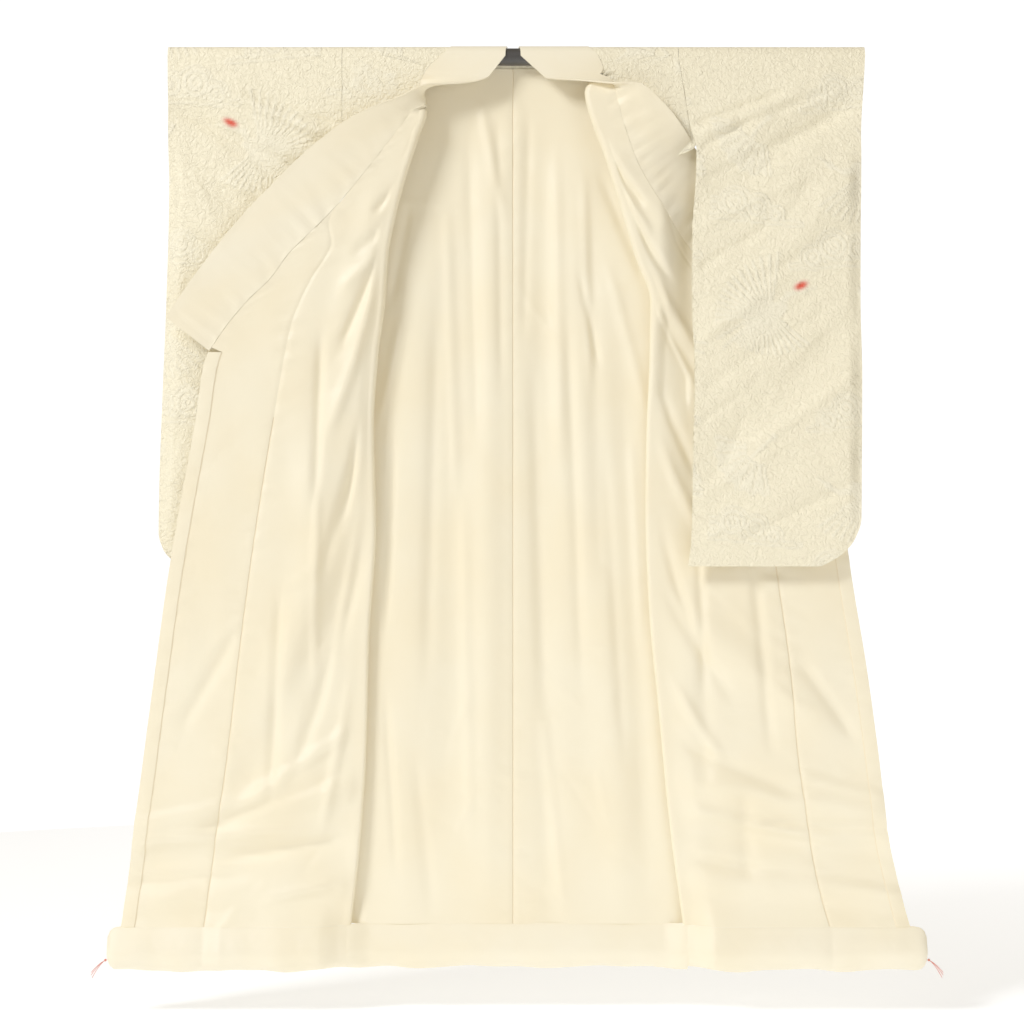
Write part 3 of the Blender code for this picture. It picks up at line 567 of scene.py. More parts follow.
def front_sheet(front, folds, collar, seams):
    rows = []
    for z in BODY_HEIGHTS:
        fold = read_row(front, FRONT_COLUMNS, z)["fold"]
        if z > OKUMI_TOP:
            end = float(read_column(collar, COLLAR_COLUMNS, "seam", z))
            outer = end + 24.0
            strip = end + 30.0
        else:
            strip = float(read_column(collar, COLLAR_COLUMNS, "seam", z))
            outer = strip - COLLAR_SEAM_GAP * float(smooth_step(0, 20, OKUMI_TOP - z))
            own = float(read_column(seams, SEAM_COLUMNS, "okumi_seam", z))
            end = own + (strip - own) * (1 - float(smooth_step(-20, 70, OKUMI_TOP - z)))
            if z < COLLAR_END:
                strip = float(read_column(seams, SEAM_COLUMNS, "edge", z))
                outer = strip - EDGE_STRIP
        part = front_slice(front, folds, z, end)
        outs = np.concatenate([
            np.linspace(end, outer, OKUMI + 1)[1:], np.linspace(outer, strip, STRIP + 1)[1:],
        ])
        if end - fold < FOLD_OPENS_OVER:
            onward = unit(part[-1] - part[-4])
            extra = part[-1] + onward * np.linspace(0, 30, OKUMI + STRIP + 1)[1:, None]
        else:
            base = turned_depth(front, folds, end, z, fold)
            extra = np.column_stack([outs, part[-1, 1] + turned_depth(front, folds, outs, z, fold) - base])
        line = np.vstack([part, extra])
        rows.append(np.column_stack([line, np.full(len(line), z)]))
    return np.array(rows)


WRAP_ANGLES = np.linspace(-90, 90, 25)


def wrap_rows(front):
    side = read_row(front, FRONT_COLUMNS, 0)["side"]
    neck = read_row(front, FRONT_COLUMNS, 0)["fold"]
    rows = []
    for turn in np.radians(WRAP_ANGLES):
        outs = np.linspace(side, neck - NECK_EASE * math.cos(turn), PANEL_COLUMNS)
        y = np.full(PANEL_COLUMNS, -WRAP_RADIUS * math.sin(turn))
        z = np.full(PANEL_COLUMNS, WRAP_RADIUS * math.cos(turn))
        rows.append(np.column_stack([outs, y, z]))
    return np.array(rows)


right_sheet = front_sheet(RIGHT_FRONT, RIGHT_FRONT_FOLDS, RIGHT_COLLAR, RIGHT_SEAMS)
left_sheet = front_sheet(LEFT_FRONT, LEFT_FRONT_FOLDS, LEFT_COLLAR, LEFT_SEAMS)
print("front sheets:", right_sheet.shape[0], "rows of", right_sheet.shape[1], "points")

# %% [markdown]
# Every cloth piece is a grid of points with a UV map in metres along the cloth. The grid comes from
# `create_grid`, whose points are then moved to their places, and a Solidify modifier gives it the
# wall's thickness. The weave and the woven figure read the UV map, so they follow the cloth round folds.

# %% Sew a grid into a piece of cloth
sewn_pieces = {}


def trimmed(points, first=0.0, last=0.0, top=0.0, bottom=0.0):
    """The grid with its border columns and rows drawn inwards a little, as the CAD walls are."""
    moved = points.copy()
    for gap, edge, inside in ((first, 0, 1), (last, -1, -2)):
        moved[:, edge] += gap * unit(points[:, inside] - points[:, edge])
    for gap, edge, inside in ((top, 0, 1), (bottom, -1, -2)):
        moved[edge] += gap * unit(points[inside] - points[edge])
    return moved


def cloth_lengths(points):
    """Metres along the cloth for each point: across from the first column, and down as its height."""
    steps = np.linalg.norm(np.diff(points, axis=1), axis=2)
    across = np.concatenate([np.zeros((len(points), 1)), np.cumsum(steps, axis=1)], axis=1)
    return np.stack([across, points[:, :, 2]], axis=2) * MM


def grid_object(name, points, side, uv):
    rows, columns = points.shape[:2]
    cloth = bmesh.new()
    bmesh.ops.create_grid(cloth, x_segments=columns - 1, y_segments=rows - 1, size=1.0)
    ordered = sorted(cloth.verts, key=lambda vert: (round(vert.co.y, 6), round(vert.co.x, 6)))
    places = (points * np.array((side, 1, 1)) * MM).reshape(-1, 3)
    lengths = uv.reshape(-1, 2)
    for index, vert in enumerate(ordered):
        vert.co = places[index]
        vert.index = index
    for edge in cloth.edges:
        edge.smooth = not edge.is_boundary
    layer = cloth.loops.layers.uv.new("cloth")
    for face in cloth.faces:
        for loop in face.loops:
            loop[layer].uv = lengths[loop.vert.index]
    cloth.verts.sort()
    for face in cloth.faces:
        face.smooth = True
    mesh = bpy.data.meshes.new(name)
    cloth.to_mesh(mesh)
    cloth.free()
    piece = bpy.data.objects.new(name, mesh)
    bpy.context.scene.collection.objects.link(piece)
    return piece


def face_towards(piece, points, normals, side):
    """Turns the grid's faces round where they look the other way than the wanted normals."""
    middle = piece.data.polygons[len(piece.data.polygons) // 2]
    nearest = int(np.argmin(((points * np.array((side, 1, 1)) * MM - np.array(middle.center)) ** 2).sum(axis=2)))
    wanted = (normals * np.array((side, 1, 1))).reshape(-1, 3)[nearest]
    if np.dot(wanted, middle.normal) < 0:
        piece.data.flip_normals()


def sew(name, points, normals, offset, thickness, side, node, uv=None):
    """A cloth wall in the middle of offset along the normals, put in place of the CAD part node, which is hidden."""
    placed = points + normals * offset
    uv = cloth_lengths(points) if uv is None else uv
    piece = grid_object(name, placed, side, uv)
    face_towards(piece, placed, normals, side)
    wall = piece.modifiers.new("cloth thickness", "SOLIDIFY")
    wall.thickness = thickness * MM
    wall.offset = 0.0
    wall.use_rim = True
    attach(piece, "root")
    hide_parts(node)
    sewn_pieces[name] = piece
    return piece


def cut_size(points):
    """Width and length in metres of the smallest rectangle that the flat piece could be cut from."""
    across = np.linalg.norm(np.diff(points, axis=1), axis=2).sum(axis=1).max()
    along = np.linalg.norm(np.diff(points, axis=0), axis=2).sum(axis=0).max()
    return round(float(across) * MM, 3), round(float(along) * MM, 3)


print("cloth helpers ready")

# %% [markdown]
# The back is two lengths of silk joined by a seam down the middle. From the front only its lining
# shows, between the turned-out fronts, and from behind its outer silk. The centre seam is drawn in a
# little by its stitches, so a shallow groove with small puckers runs down it.

# %% Back panels and their lining
BACK_ROWS = np.concatenate([[0.0], BODY_HEIGHTS])
BACK_COLUMNS = 74
HEM_RISE = 64.0
HEM_SWELL = 20.0
BACK_HEM_SWELL = 11.0
BACK_CREASE_DEPTH = 1.9
SEAM_GROOVE = 1.6
SEAM_GROOVE_WIDTH = 5.0


def hem_swell(z):
    """How far the cloth has come forward over the padding, from 0 to 1, steepest where the roll begins."""
    return np.clip((PANEL_BOTTOM + HEM_RISE - z) / HEM_RISE, 0.0, 1.0) ** 1.4


def back_sheet(front, side):
    rows = []
    for z in BACK_ROWS:
        row = read_row(front, FRONT_COLUMNS, z)
        outs = np.linspace(0.0, row["back_side"], BACK_COLUMNS)
        calm = smooth_step(0, 45, row["back_side"] - outs)
        y = row["back_y"] + calm * relief(BACK_FOLDS, outs * side, z) * float(smooth_step(70, 240, -z))
        free = float(smooth_step(60, 110, -z))
        y = y + free * calm * BACK_CREASE_DEPTH * relief(BACK_CREASES, outs * side, z)
        y = y + free * calm * relief(BACK_SMALL, outs * side, z)
        y = y + free * calm * 0.9 * uneven(outs * side, z, 120.0, 11, 3.0)
        y = y + SEAM_GROOVE * np.exp(-((outs / SEAM_GROOVE_WIDTH) ** 2))
        y = y + free * 0.9 * puckers(outs, z, 26.0, 38.0, 5) - BACK_HEM_SWELL * calm * hem_swell(z)
        rows.append(np.column_stack([outs, y, np.full(BACK_COLUMNS, z)]))
    return np.array(rows)


for word, side, front in (("right", -1, RIGHT_FRONT), ("left", 1, LEFT_FRONT)):
    sheet = back_sheet(front, side)
    normals = -sheet_normals(sheet)
    part = trimmed(sheet, first=0.05, last=0.3, top=0.3, bottom=0.15)
    sew(f"back_panel_{word}", part, normals, 0.15 + OUTER_WALL / 2, OUTER_WALL, side,
        f"back_{word}")
    part = trimmed(sheet[1:], first=0.05, last=0.3, bottom=0.15)
    sew(f"lining_of_back_{word}", part, normals[1:], -0.15 - LINING_WALL / 2, LINING_WALL, side,
        f"back_lining_{word}")
print("back:", [sewn_pieces[name].name for name in sewn_pieces])

# %% [markdown]
# Each front is a panel of silk with a narrower okumi sewn on, which ends in a point under the collar.
# The seam between them pulls small gathers into the lining. Below the collar the front edge is a
# soft padded strip. Above, the panel goes over the rod and hangs down to meet its back.

# %% Creases of the fronts, put on the shared sheets
SEAM_LIFT = 1.5
SEAM_LIFT_WIDTH = 4.5
EDGE_PUFF = 1.6


def crease_front(sheet, creases, small, collar, seed):
    normals = sheet_normals(sheet)
    outs, heights = sheet[:, :, 0], sheet[:, :, 2]
    column = np.arange(sheet.shape[1])
    first_turned = SIDE_TURN + HIDDEN + FOLD_TURN
    turned = smooth_step(first_turned, first_turned + 12, column)[None, :]
    seam = sheet[:, OKUMI_SEAM_AT:OKUMI_SEAM_AT + 1, 0]
    lower = smooth_step(120, 220, -heights)
    collar_seam = read_column(collar, COLLAR_COLUMNS, "seam", heights)
    near_collar = np.where(heights > COLLAR_END - 40, collar_seam - outs, 400.0)
    height = turned * lower * (CREASE_DEPTH * relief(creases, outs, heights) + relief(small, outs, heights))
    height = height + turned * lower * 0.8 * uneven(outs, heights, 95.0, seed, 1.8)
    below_point = smooth_step(-OKUMI_TOP - 20, -OKUMI_TOP + 60, -heights)
    height = height + below_point * SEAM_LIFT * np.exp(-(((outs - seam) / SEAM_LIFT_WIDTH) ** 2)) * turned
    height = height + below_point * turned * 1.8 * puckers(outs - seam, heights, 26.0, 32.0, seed + 1)
    height = height + turned * 1.9 * puckers(near_collar, heights - outs * 0.6, 34.0, 28.0, seed + 2)
    border = smooth_step(-COLLAR_END, -COLLAR_END + 60, -heights)
    inside_strip = sheet[:, -1:, 0] - outs - EDGE_STRIP
    height = height + border * 1.3 * puckers(inside_strip, heights, 18.0, 36.0, seed + 3)
    fold_line = sheet[:, first_turned - 6:first_turned - 5, 0]
    height = height + turned * lower * 0.9 * puckers(outs - fold_line, heights, 40.0, 70.0, seed + 4)
    depth = height * turned * np.abs(normals[:, :, 1]) - HEM_SWELL * hem_swell(heights) * turned
    creased = sheet.copy()
    creased[:, :, 1] += depth
    return creased


right_sheet = crease_front(right_sheet, RIGHT_CREASES, RIGHT_SMALL, RIGHT_COLLAR, 21)
left_sheet = crease_front(left_sheet, LEFT_CREASES, LEFT_SMALL, LEFT_COLLAR, 41)
print("creased both fronts")

# %% Front panels, okumi, linings and padded edges
def rows_below(height):
    return [index for index, z in enumerate(BODY_HEIGHTS) if z <= height]


def sew_front(word, side, front, sheet):
    facing = -sheet_normals(sheet)
    panel = np.concatenate([wrap_rows(front), sheet[:, :PANEL_COLUMNS]])
    turns = np.radians(WRAP_ANGLES)
    radial = np.column_stack([np.zeros(len(turns)), -np.sin(turns), np.cos(turns)])
    over_rod = np.repeat(radial[:, None, :], PANEL_COLUMNS, axis=1)
    panel_normals = np.concatenate([over_rod, facing[:, :PANEL_COLUMNS]])
    panel = trimmed(panel, first=0.15, last=0.1, top=0.15, bottom=0.15)
    lengths = cloth_lengths(panel)
    over = np.radians(90 + WRAP_ANGLES) * WRAP_RADIUS * MM
    lengths[:len(over), :, 1] = (over[-1] - over)[:, None]
    sew(f"front_panel_{word}", panel, panel_normals, 0.15 + OUTER_WALL / 2, OUTER_WALL, side,
        f"front_{word}", lengths)
    low = rows_below(LINING_TOP)
    start = SIDE_TURN + HIDDEN - 4
    part = trimmed(sheet[low, start:PANEL_COLUMNS], first=0.15, last=0.02, bottom=0.15)
    sew(f"lining_of_front_{word}", part, facing[low, start:PANEL_COLUMNS], -0.15 - LINING_WALL / 2,
        LINING_WALL, side, f"front_lining_{word}")
    low = rows_below(OKUMI_TOP)
    okumi = slice(OKUMI_SEAM_AT, OKUMI_SEAM_AT + OKUMI + 1)
    low = [low[0] - 1] + low
    part = sheet[low, okumi].copy()
    part[0] = sheet[low[0], OKUMI_SEAM_AT] + (part[1] - part[1, :1]) * 0.02
    part = trimmed(part, first=0.02, last=0.05, bottom=0.15)
    sew(f"okumi_cloth_{word}", part, facing[low, okumi], 0.15 + OUTER_WALL / 2, OUTER_WALL, side,
        f"okumi_{word}")
    sew(f"lining_of_okumi_{word}", part, facing[low, okumi], -0.15 - LINING_WALL / 2, LINING_WALL, side,
        f"okumi_lining_{word}")
    low = rows_below(COLLAR_END)
    strip = slice(OKUMI_SEAM_AT + OKUMI, OKUMI_SEAM_AT + OKUMI + STRIP + 1)
    part = trimmed(sheet[low, strip], first=0.05, top=0.5, bottom=0.15)
    across = np.linspace(0, 1, STRIP + 1)[None, :]
    crown = EDGE_PUFF * np.sin(across * math.pi) * np.ones((len(low), 1))
    part = part - facing[low, strip] * (crown[:, :, None] * 0.5)
    sew(f"padded_edge_{word}", part, facing[low, strip], 0.0, EDGE_WALL, side,
        f"front_edge_{word}")


sew_front("right", -1, RIGHT_FRONT, right_sheet)
sew_front("left", 1, LEFT_FRONT, left_sheet)


def keep_distance(piece, name, values):
    """Keeps one number for each point of a piece, in metres, for its material to read."""
    layer = piece.data.attributes.new(name, "FLOAT", "POINT")
    layer.data.foreach_set("value", np.asarray(values, np.float32).ravel() * np.float32(MM))


FAR = 60.0
OKUMI_CUT = {"right": (-2000.0, 0.0, 0.0), "left": (-494.0, 509.0, 0.26)}
for word, sheet in (("right", right_sheet), ("left", left_sheet)):
    okumi_rows = rows_below(OKUMI_TOP)
    for name, first, last, low in (
        (f"lining_of_front_{word}", SIDE_TURN + HIDDEN - 4, PANEL_COLUMNS, rows_below(LINING_TOP)),
        (f"lining_of_okumi_{word}", OKUMI_SEAM_AT, OKUMI_SEAM_AT + OKUMI + 1, [okumi_rows[0] - 1] + okumi_rows),
    ):
        outs, heights = sheet[low, first:last, 0], sheet[low, first:last, 2]
        from_seam = outs - sheet[low, OKUMI_SEAM_AT, 0][:, None]
        cut_height, cut_out, cut_slope = OKUMI_CUT[word]
        from_cut = heights - (cut_height + cut_slope * (outs - cut_out))
        shown = from_cut[:, :1] < -4 if word == "left" else heights < -700
        far = -FAR if first < OKUMI_SEAM_AT else FAR
        on_okumi = first == OKUMI_SEAM_AT and word == "left"
        keep_distance(sewn_pieces[name], "from_seam", np.where(shown, from_seam, far))
        keep_distance(sewn_pieces[name], "from_cut", from_cut if on_okumi else np.full(outs.shape, FAR))
    from_strip = np.linspace(0.0, EDGE_STRIP, STRIP + 1) * np.ones((len(rows_below(COLLAR_END)), 1))
    keep_distance(sewn_pieces[f"padded_edge_{word}"], "from_seam", from_strip)
    keep_distance(sewn_pieces[f"padded_edge_{word}"], "from_cut", np.full(from_strip.shape, FAR))
    centre = np.linspace(0.0, 330.0, BACK_COLUMNS) * np.ones((len(BACK_ROWS) - 1, 1))
    keep_distance(sewn_pieces[f"lining_of_back_{word}"], "from_seam", centre)
    keep_distance(sewn_pieces[f"lining_of_back_{word}"], "from_cut", np.full(centre.shape, FAR))
print("fronts:", len(sewn_pieces), "pieces so far")

# %% [markdown]
# The collar is one long folded band. It lies round the back of the neck, comes over the rod and, turned
# out with the fronts, shows first its outer face and then its inner one. Stitches along its inner
# seam gather it, so fine puckers run across the band from that seam.

# %% The collar
COLLAR_COLUMNS_ACROSS = 40
COLLAR_HEIGHTS = np.concatenate([np.arange(-20.0, COLLAR_END, -6.0), [COLLAR_END]])


def seam_point(sheet, collar, z):
    """Where the collar is sewn on: to the panel's edge higher up, and across the okumi below its point."""
    heights = sheet[::-1, 0, 2]
    if z > OKUMI_TOP + ROW_STEP:
        out, depth = (np.interp(z, heights, sheet[::-1, OKUMI_SEAM_AT, axis]) for axis in (0, 1))
    else:
        first = SIDE_TURN + HIDDEN + FOLD_TURN
        out = float(read_column(collar, COLLAR_COLUMNS, "seam", z))
        near = np.array([np.interp(out, row[first:, 0], row[first:, 1]) for row in sheet])
        depth = np.interp(z, heights, near[::-1])
    return np.array((out, depth, z))


def collar_band(front, sheet, collar, seed):
    neck = read_row(front, FRONT_COLUMNS, 0)["fold"]
    middle = WRAP_RADIUS + COLLAR_WALL / 2
    rows = []
    for turn in np.radians(WRAP_ANGLES):
        radius = middle + COLLAR_BACK_EASE * max(0.0, -math.sin(turn))
        outs = np.linspace(neck - NECK_EASE * math.cos(turn), 12.0 + 3.0 * math.sin(turn), COLLAR_COLUMNS_ACROSS)
        y = np.full(COLLAR_COLUMNS_ACROSS, -radius * math.sin(turn))
        z = np.full(COLLAR_COLUMNS_ACROSS, radius * math.cos(turn))
        rows.append(np.column_stack([outs, y, z]))
    shares = np.linspace(0, 1, COLLAR_COLUMNS_ACROSS)[:, None]
    for z in COLLAR_HEIGHTS:
        row = read_row(collar, COLLAR_COLUMNS, z)
        start = seam_point(sheet, collar, z)
        end = np.array((row["free"], row["free_y"], row["free_z"]))
        rows.append(start + (end - start) * shares)
    band = np.array(rows)
    normals = -sheet_normals(band)
    wrap = np.radians(WRAP_ANGLES)
    radial = np.column_stack([np.zeros(len(WRAP_ANGLES)), -np.sin(wrap), np.cos(wrap)])
    normals[:len(WRAP_ANGLES)] = radial[:, None, :]
    across = shares[None, :, 0] * 105.0
    along = np.linspace(0, 900, len(band))[:, None]
    free = smooth_step(len(WRAP_ANGLES), len(WRAP_ANGLES) + 12, np.arange(len(band)))[:, None]
    rise = 1.3 * puckers(across, along, 46.0, 30.0, seed) + 0.7 * uneven(across, along, 60.0, seed + 1, 1.5)
    rise = rise * smooth_step(0, 8, across) * smooth_step(0, 10, 105.0 - across)
    band = band + normals * (free * rise)[:, :, None]
    return band, normals


for word, side, front, sheet, collar, seed in (
    ("right", -1, RIGHT_FRONT, right_sheet, RIGHT_COLLAR, 61),
    ("left", 1, LEFT_FRONT, left_sheet, LEFT_COLLAR, 71),
):
    band, normals = collar_band(front, sheet, collar, seed)
    band = trimmed(band, first=0.5, bottom=0.3)
    sew(f"collar_band_{word}", band, normals, 0.0, COLLAR_WALL, side, f"collar_{word}")

BACK_COLLAR_DROPS = ((-0.6, None), (-20, 25.5), (-42, 27.0), (-64, 28.0), (-86, 28.5))
outs = np.linspace(-118, 155, 60)
drops = np.array([drop for drop, _ in BACK_COLLAR_DROPS])
depths = np.array([depth or WRAP_RADIUS + COLLAR_WALL / 2 + COLLAR_BACK_EASE for _, depth in BACK_COLLAR_DROPS])
rows = []
for z in np.linspace(-0.6, -86, 24):
    depth = np.interp(-z, -drops, depths)
    lift = 10.0 * ((outs - 18) / 136) ** 4 * (-z / 86)
    rows.append(np.column_stack([outs, depth + 0.5 * uneven(outs, z, 50.0, 81), z + lift]))
band = np.array(rows)
sew("collar_band_back", band, sheet_normals(band), 0.0, COLLAR_WALL, 1, "collar_back")
print("collar:", [round(value, 3) for value in cut_size(band)], "m behind the neck")

# %% [markdown]
# A furisode-style sleeve is one length of silk folded over the shoulder and sewn up its outer edge
# below the opening for the hand. Both walls hang from the rod. The drag of the heavy body pulls slanting
# creases up towards the shoulder, and the long inner edge is gathered a little.

# %% Sleeves
SLEEVE_COLUMNS_ACROSS = 88
SLEEVE_BACK_ACROSS = 60
SLEEVE_ROW = 4.0
BACK_SLEEVE_ROW = 6.0
SLEEVE_WRAP = np.linspace(0, 72, 9)


def sleeve_wall(word, table, body, wall, sign, columns, step):
    heights = np.concatenate([np.arange(0.0, SLEEVE_BOTTOM, -step), [SLEEVE_BOTTOM]])
    rows = []
    for turn in np.radians(SLEEVE_WRAP):
        outs = np.linspace(body[0][1], table[0][2], columns)
        rows.append(np.column_stack([
            outs, np.full(columns, sign * WRAP_RADIUS * math.sin(turn)), np.full(columns, WRAP_RADIUS * math.cos(turn)),
        ]))
    for z in heights:
        row = read_row(table, SLEEVE_COLUMNS, z)
        if z >= SLEEVE_JOIN:
            row["inner"] = read_row(body, FRONT_COLUMNS, z)["side"]
        pulled = BACK_EDGE_PULL * smooth_step(145, 170, -z) * (1 - smooth_step(260, 330, -z))
        inner = row["inner"] + (float(pulled) if wall == "back" and word == "left" else 0.0)
        outs = np.linspace(inner, row["outer"], columns)
        own = row[f"{wall}_y"]
        middle = (row["front_y"] + row["back_y"]) / 2
        sewn = float(smooth_step(-CUFF_BOTTOM - 20, -CUFF_BOTTOM + 60, -z))
        closing = sewn * smooth_step(row["outer"] - 28, row["outer"], outs)
        y = own + (middle + sign * 1.2 - own) * closing
        calm = float(smooth_step(0, 80, -z)) * float(smooth_step(0, 70, z - SLEEVE_BOTTOM))
        y = y + calm * (1 - closing) * relief(SLEEVE_FOLDS, outs, z)
        fine = SLEEVE_CREASE_DEPTH * relief(SLEEVE_CREASES, outs, z) + relief(SLEEVE_SMALL, outs, z)
        fine = fine + 0.9 * uneven(outs, z, 80.0, 91, 1.4)
        fine = fine * smooth_step(0, 30, outs - inner) * (1 - closing)
        fine = fine + 1.1 * puckers(outs - inner, z, 18.0, 24.0, 93) * smooth_step(0, 4, outs - inner)
        y = y - sign * (-1 if wall == "front" else 1) * calm * fine * (1 if wall == "front" else 0.6)
        rows.append(np.column_stack([outs, y, np.full(columns, z)]))
    return np.array(rows)


for word, side, table, body in (
        ("right", -1, RIGHT_SLEEVE, RIGHT_FRONT), ("left", 1, LEFT_SLEEVE, LEFT_FRONT)):
    for wall, sign, columns, step in (
        ("front", -1, SLEEVE_COLUMNS_ACROSS, SLEEVE_ROW), ("back", 1, SLEEVE_BACK_ACROSS, BACK_SLEEVE_ROW),
    ):
        sheet = sleeve_wall(word, table, body, wall, sign, columns, step)
        normals = sheet_normals(sheet) * -sign
        sheet = trimmed(sheet, first=0.6, top=0.2)
        sew(f"sleeve_cloth_{word}_{wall}", sheet, normals, OUTER_WALL / 2, OUTER_WALL, side,
            f"sleeve_{word}_{wall}")
print("sleeves:", [round(value, 3) for value in cut_size(sheet)], "m for the last wall")

# %% [markdown]
# The hem ends in a thick padded roll, the fuki, which weighs the robe down. A soft section is lofted
# through stations along the hem: flat where it is sewn on, and bulging to the front and below. The
# grid is wrapped round the section, its two long edges are merged, and its ends are filled.

# %% The padded hem roll
HEM_HEIGHT = -HEM_BOTTOM + PANEL_BOTTOM - GAP
HEM_BULGE_FRONT = 21.0
HEM_BULGE_BACK = 5.0
HEM_TOP_WIDTH = 3.4
HEM_AROUND = 48
HEM_STATIONS = 110


def hem_section(front, back, height):
    """The roll's outline as depth and drop from its flat top, smooth all the way round."""
    half = HEM_TOP_WIDTH / 2
    outline = np.array((
        (-half, 0.0), (-half - front * 0.30, -height * 0.15), (-half - front * 0.74, -height * 0.38),
        (-half - front, -height * 0.62), (-half - front * 0.84, -height * 0.84),
        (-half - front * 0.35, -height), (half, -height), (half + back * 0.8, -height * 0.75),
        (half + back, -height * 0.45), (half, 0.0),
    ))
    count = len(outline)
    places = np.linspace(0, count, HEM_AROUND + 1) % count
    index = places.astype(int)
    t = (places - index)[:, None]
    a, b, c, d = (outline[(index + shift) % count] for shift in (-1, 0, 1, 2))
    return 0.5 * (2 * b + (c - a) * t + (2 * a - 5 * b + 4 * c - d) * t**2 + (3 * b - a - 3 * c + d) * t**3)


def hem_roll(name, side, stations, node, seed):
    keys = np.array(stations)
    travel = np.concatenate([[0.0], np.cumsum(np.abs(np.diff(keys[:, 0])))])
    even = np.linspace(0, travel[-1], HEM_STATIONS)
    out, y, size, drop = (np.interp(even, travel, keys[:, column]) for column in range(4))
    rows = []
    for index in range(HEM_STATIONS):
        section = hem_section(
            HEM_BULGE_FRONT * size[index], HEM_BULGE_BACK * size[index], HEM_HEIGHT * size[index] + drop[index],
        )
        top = PANEL_BOTTOM - GAP - HEM_HEIGHT * (1 - size[index]) * 0.5
        rows.append(np.column_stack([
            np.full(len(section), out[index]), y[index] + section[:, 0], top + section[:, 1],
        ]))
    roll = np.array(rows)
    around = np.linspace(0, 2 * math.pi, HEM_AROUND + 1)[None, :]
    centre = roll[:, :-1].mean(axis=1, keepdims=True)
    outward = unit(roll - centre)
    length = out[:, None]
    dents = 1.7 * uneven(length, 60 * np.sin(around), 90.0, seed) + 1.5 * puckers(
        60 * (1 - np.cos(around)), length, 55.0, 30.0, seed + 1)
    roll = roll + outward * (dents * np.sin(around / 2) ** 2 - 0.8)[:, :, None]
    across = np.linalg.norm(np.diff(roll, axis=1), axis=2)
    girth = np.concatenate([np.zeros((len(roll), 1)), np.cumsum(across, axis=1)], axis=1)
    uv = np.stack([np.broadcast_to(length, girth.shape), girth], axis=2) * MM
    piece = grid_object(name, roll, side, uv)
    soft = bmesh.new()
    soft.from_mesh(piece.data)
    bmesh.ops.remove_doubles(soft, verts=soft.verts[:], dist=0.00005)
    bmesh.ops.holes_fill(soft, edges=[edge for edge in soft.edges if edge.is_boundary], sides=0)
    bmesh.ops.recalc_face_normals(soft, faces=soft.faces[:])
    soft.to_mesh(piece.data)
    soft.free()
    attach(piece, "root")
    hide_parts(node)
    sewn_pieces[name] = piece
    return piece


def front_hem_stations(sheet, wide_end):
    last = sheet[-1]
    first = SIDE_TURN + HIDDEN + FOLD_TURN // 2
    outs, depths = last[first:, 0], last[first:, 1]
    stations = []
    for out in np.linspace(outs[0] + 1, wide_end - 26, 40):
        stations.append((out, float(np.interp(out, outs[1:], depths[1:])), 1.0, 2.5 * math.sin(out / 31.0)))
    tail = stations[-1][1]
    for inward, size in ((14, 0.96), (5, 0.82), (0, 0.55)):
        stations.append((wide_end - inward, tail, size, 0.0))
    return stations


def back_hem_depth(out):
    """The roll comes forward at both ends, where it runs on into the fronts."""
    from_end = min(out + 323, 339 - out)
    middle = float(smooth_step(0, 46, from_end))
    return 12.0 - BACK_HEM_SWELL * middle - 24.0 * (1 - middle)


RIGHT_CORNER = 784.0
LEFT_CORNER = 800.0
right_stations = front_hem_stations(right_sheet, RIGHT_CORNER)
left_stations = front_hem_stations(left_sheet, LEFT_CORNER)
hem_roll("padded_hem_right", -1, right_stations, "hem_roll_right", 101)
hem_roll("padded_hem_left", 1, left_stations, "hem_roll_left", 111)
hem_roll("padded_hem_back", 1, [
    (out, back_hem_depth(out), 1.0, 2.0 * math.sin(out / 40.0)) for out in np.linspace(-323, 339, 60)
], "hem_roll_back", 121)
print("hem roll:", round(HEM_HEIGHT), "mm high and",
      round(HEM_BULGE_FRONT + HEM_BULGE_BACK + HEM_TOP_WIDTH), "mm thick")

# %% [markdown]
# At each front corner the ends of a salmon thread hang out of the roll. Each end is two plies twisted
# round each other: a small circle swept along a helix does it, and a ball with shallow grooves makes the knot.

# %% Thread ends at the corners
PLY_RADIUS = 0.55
TWIST_RADIUS = 0.5
TWIST_LENGTH = 3.6
STRAND_STEPS = 44
THREAD_LEANS = ((0.75, 34.0), (0.95, 29.0), (1.15, 24.0))


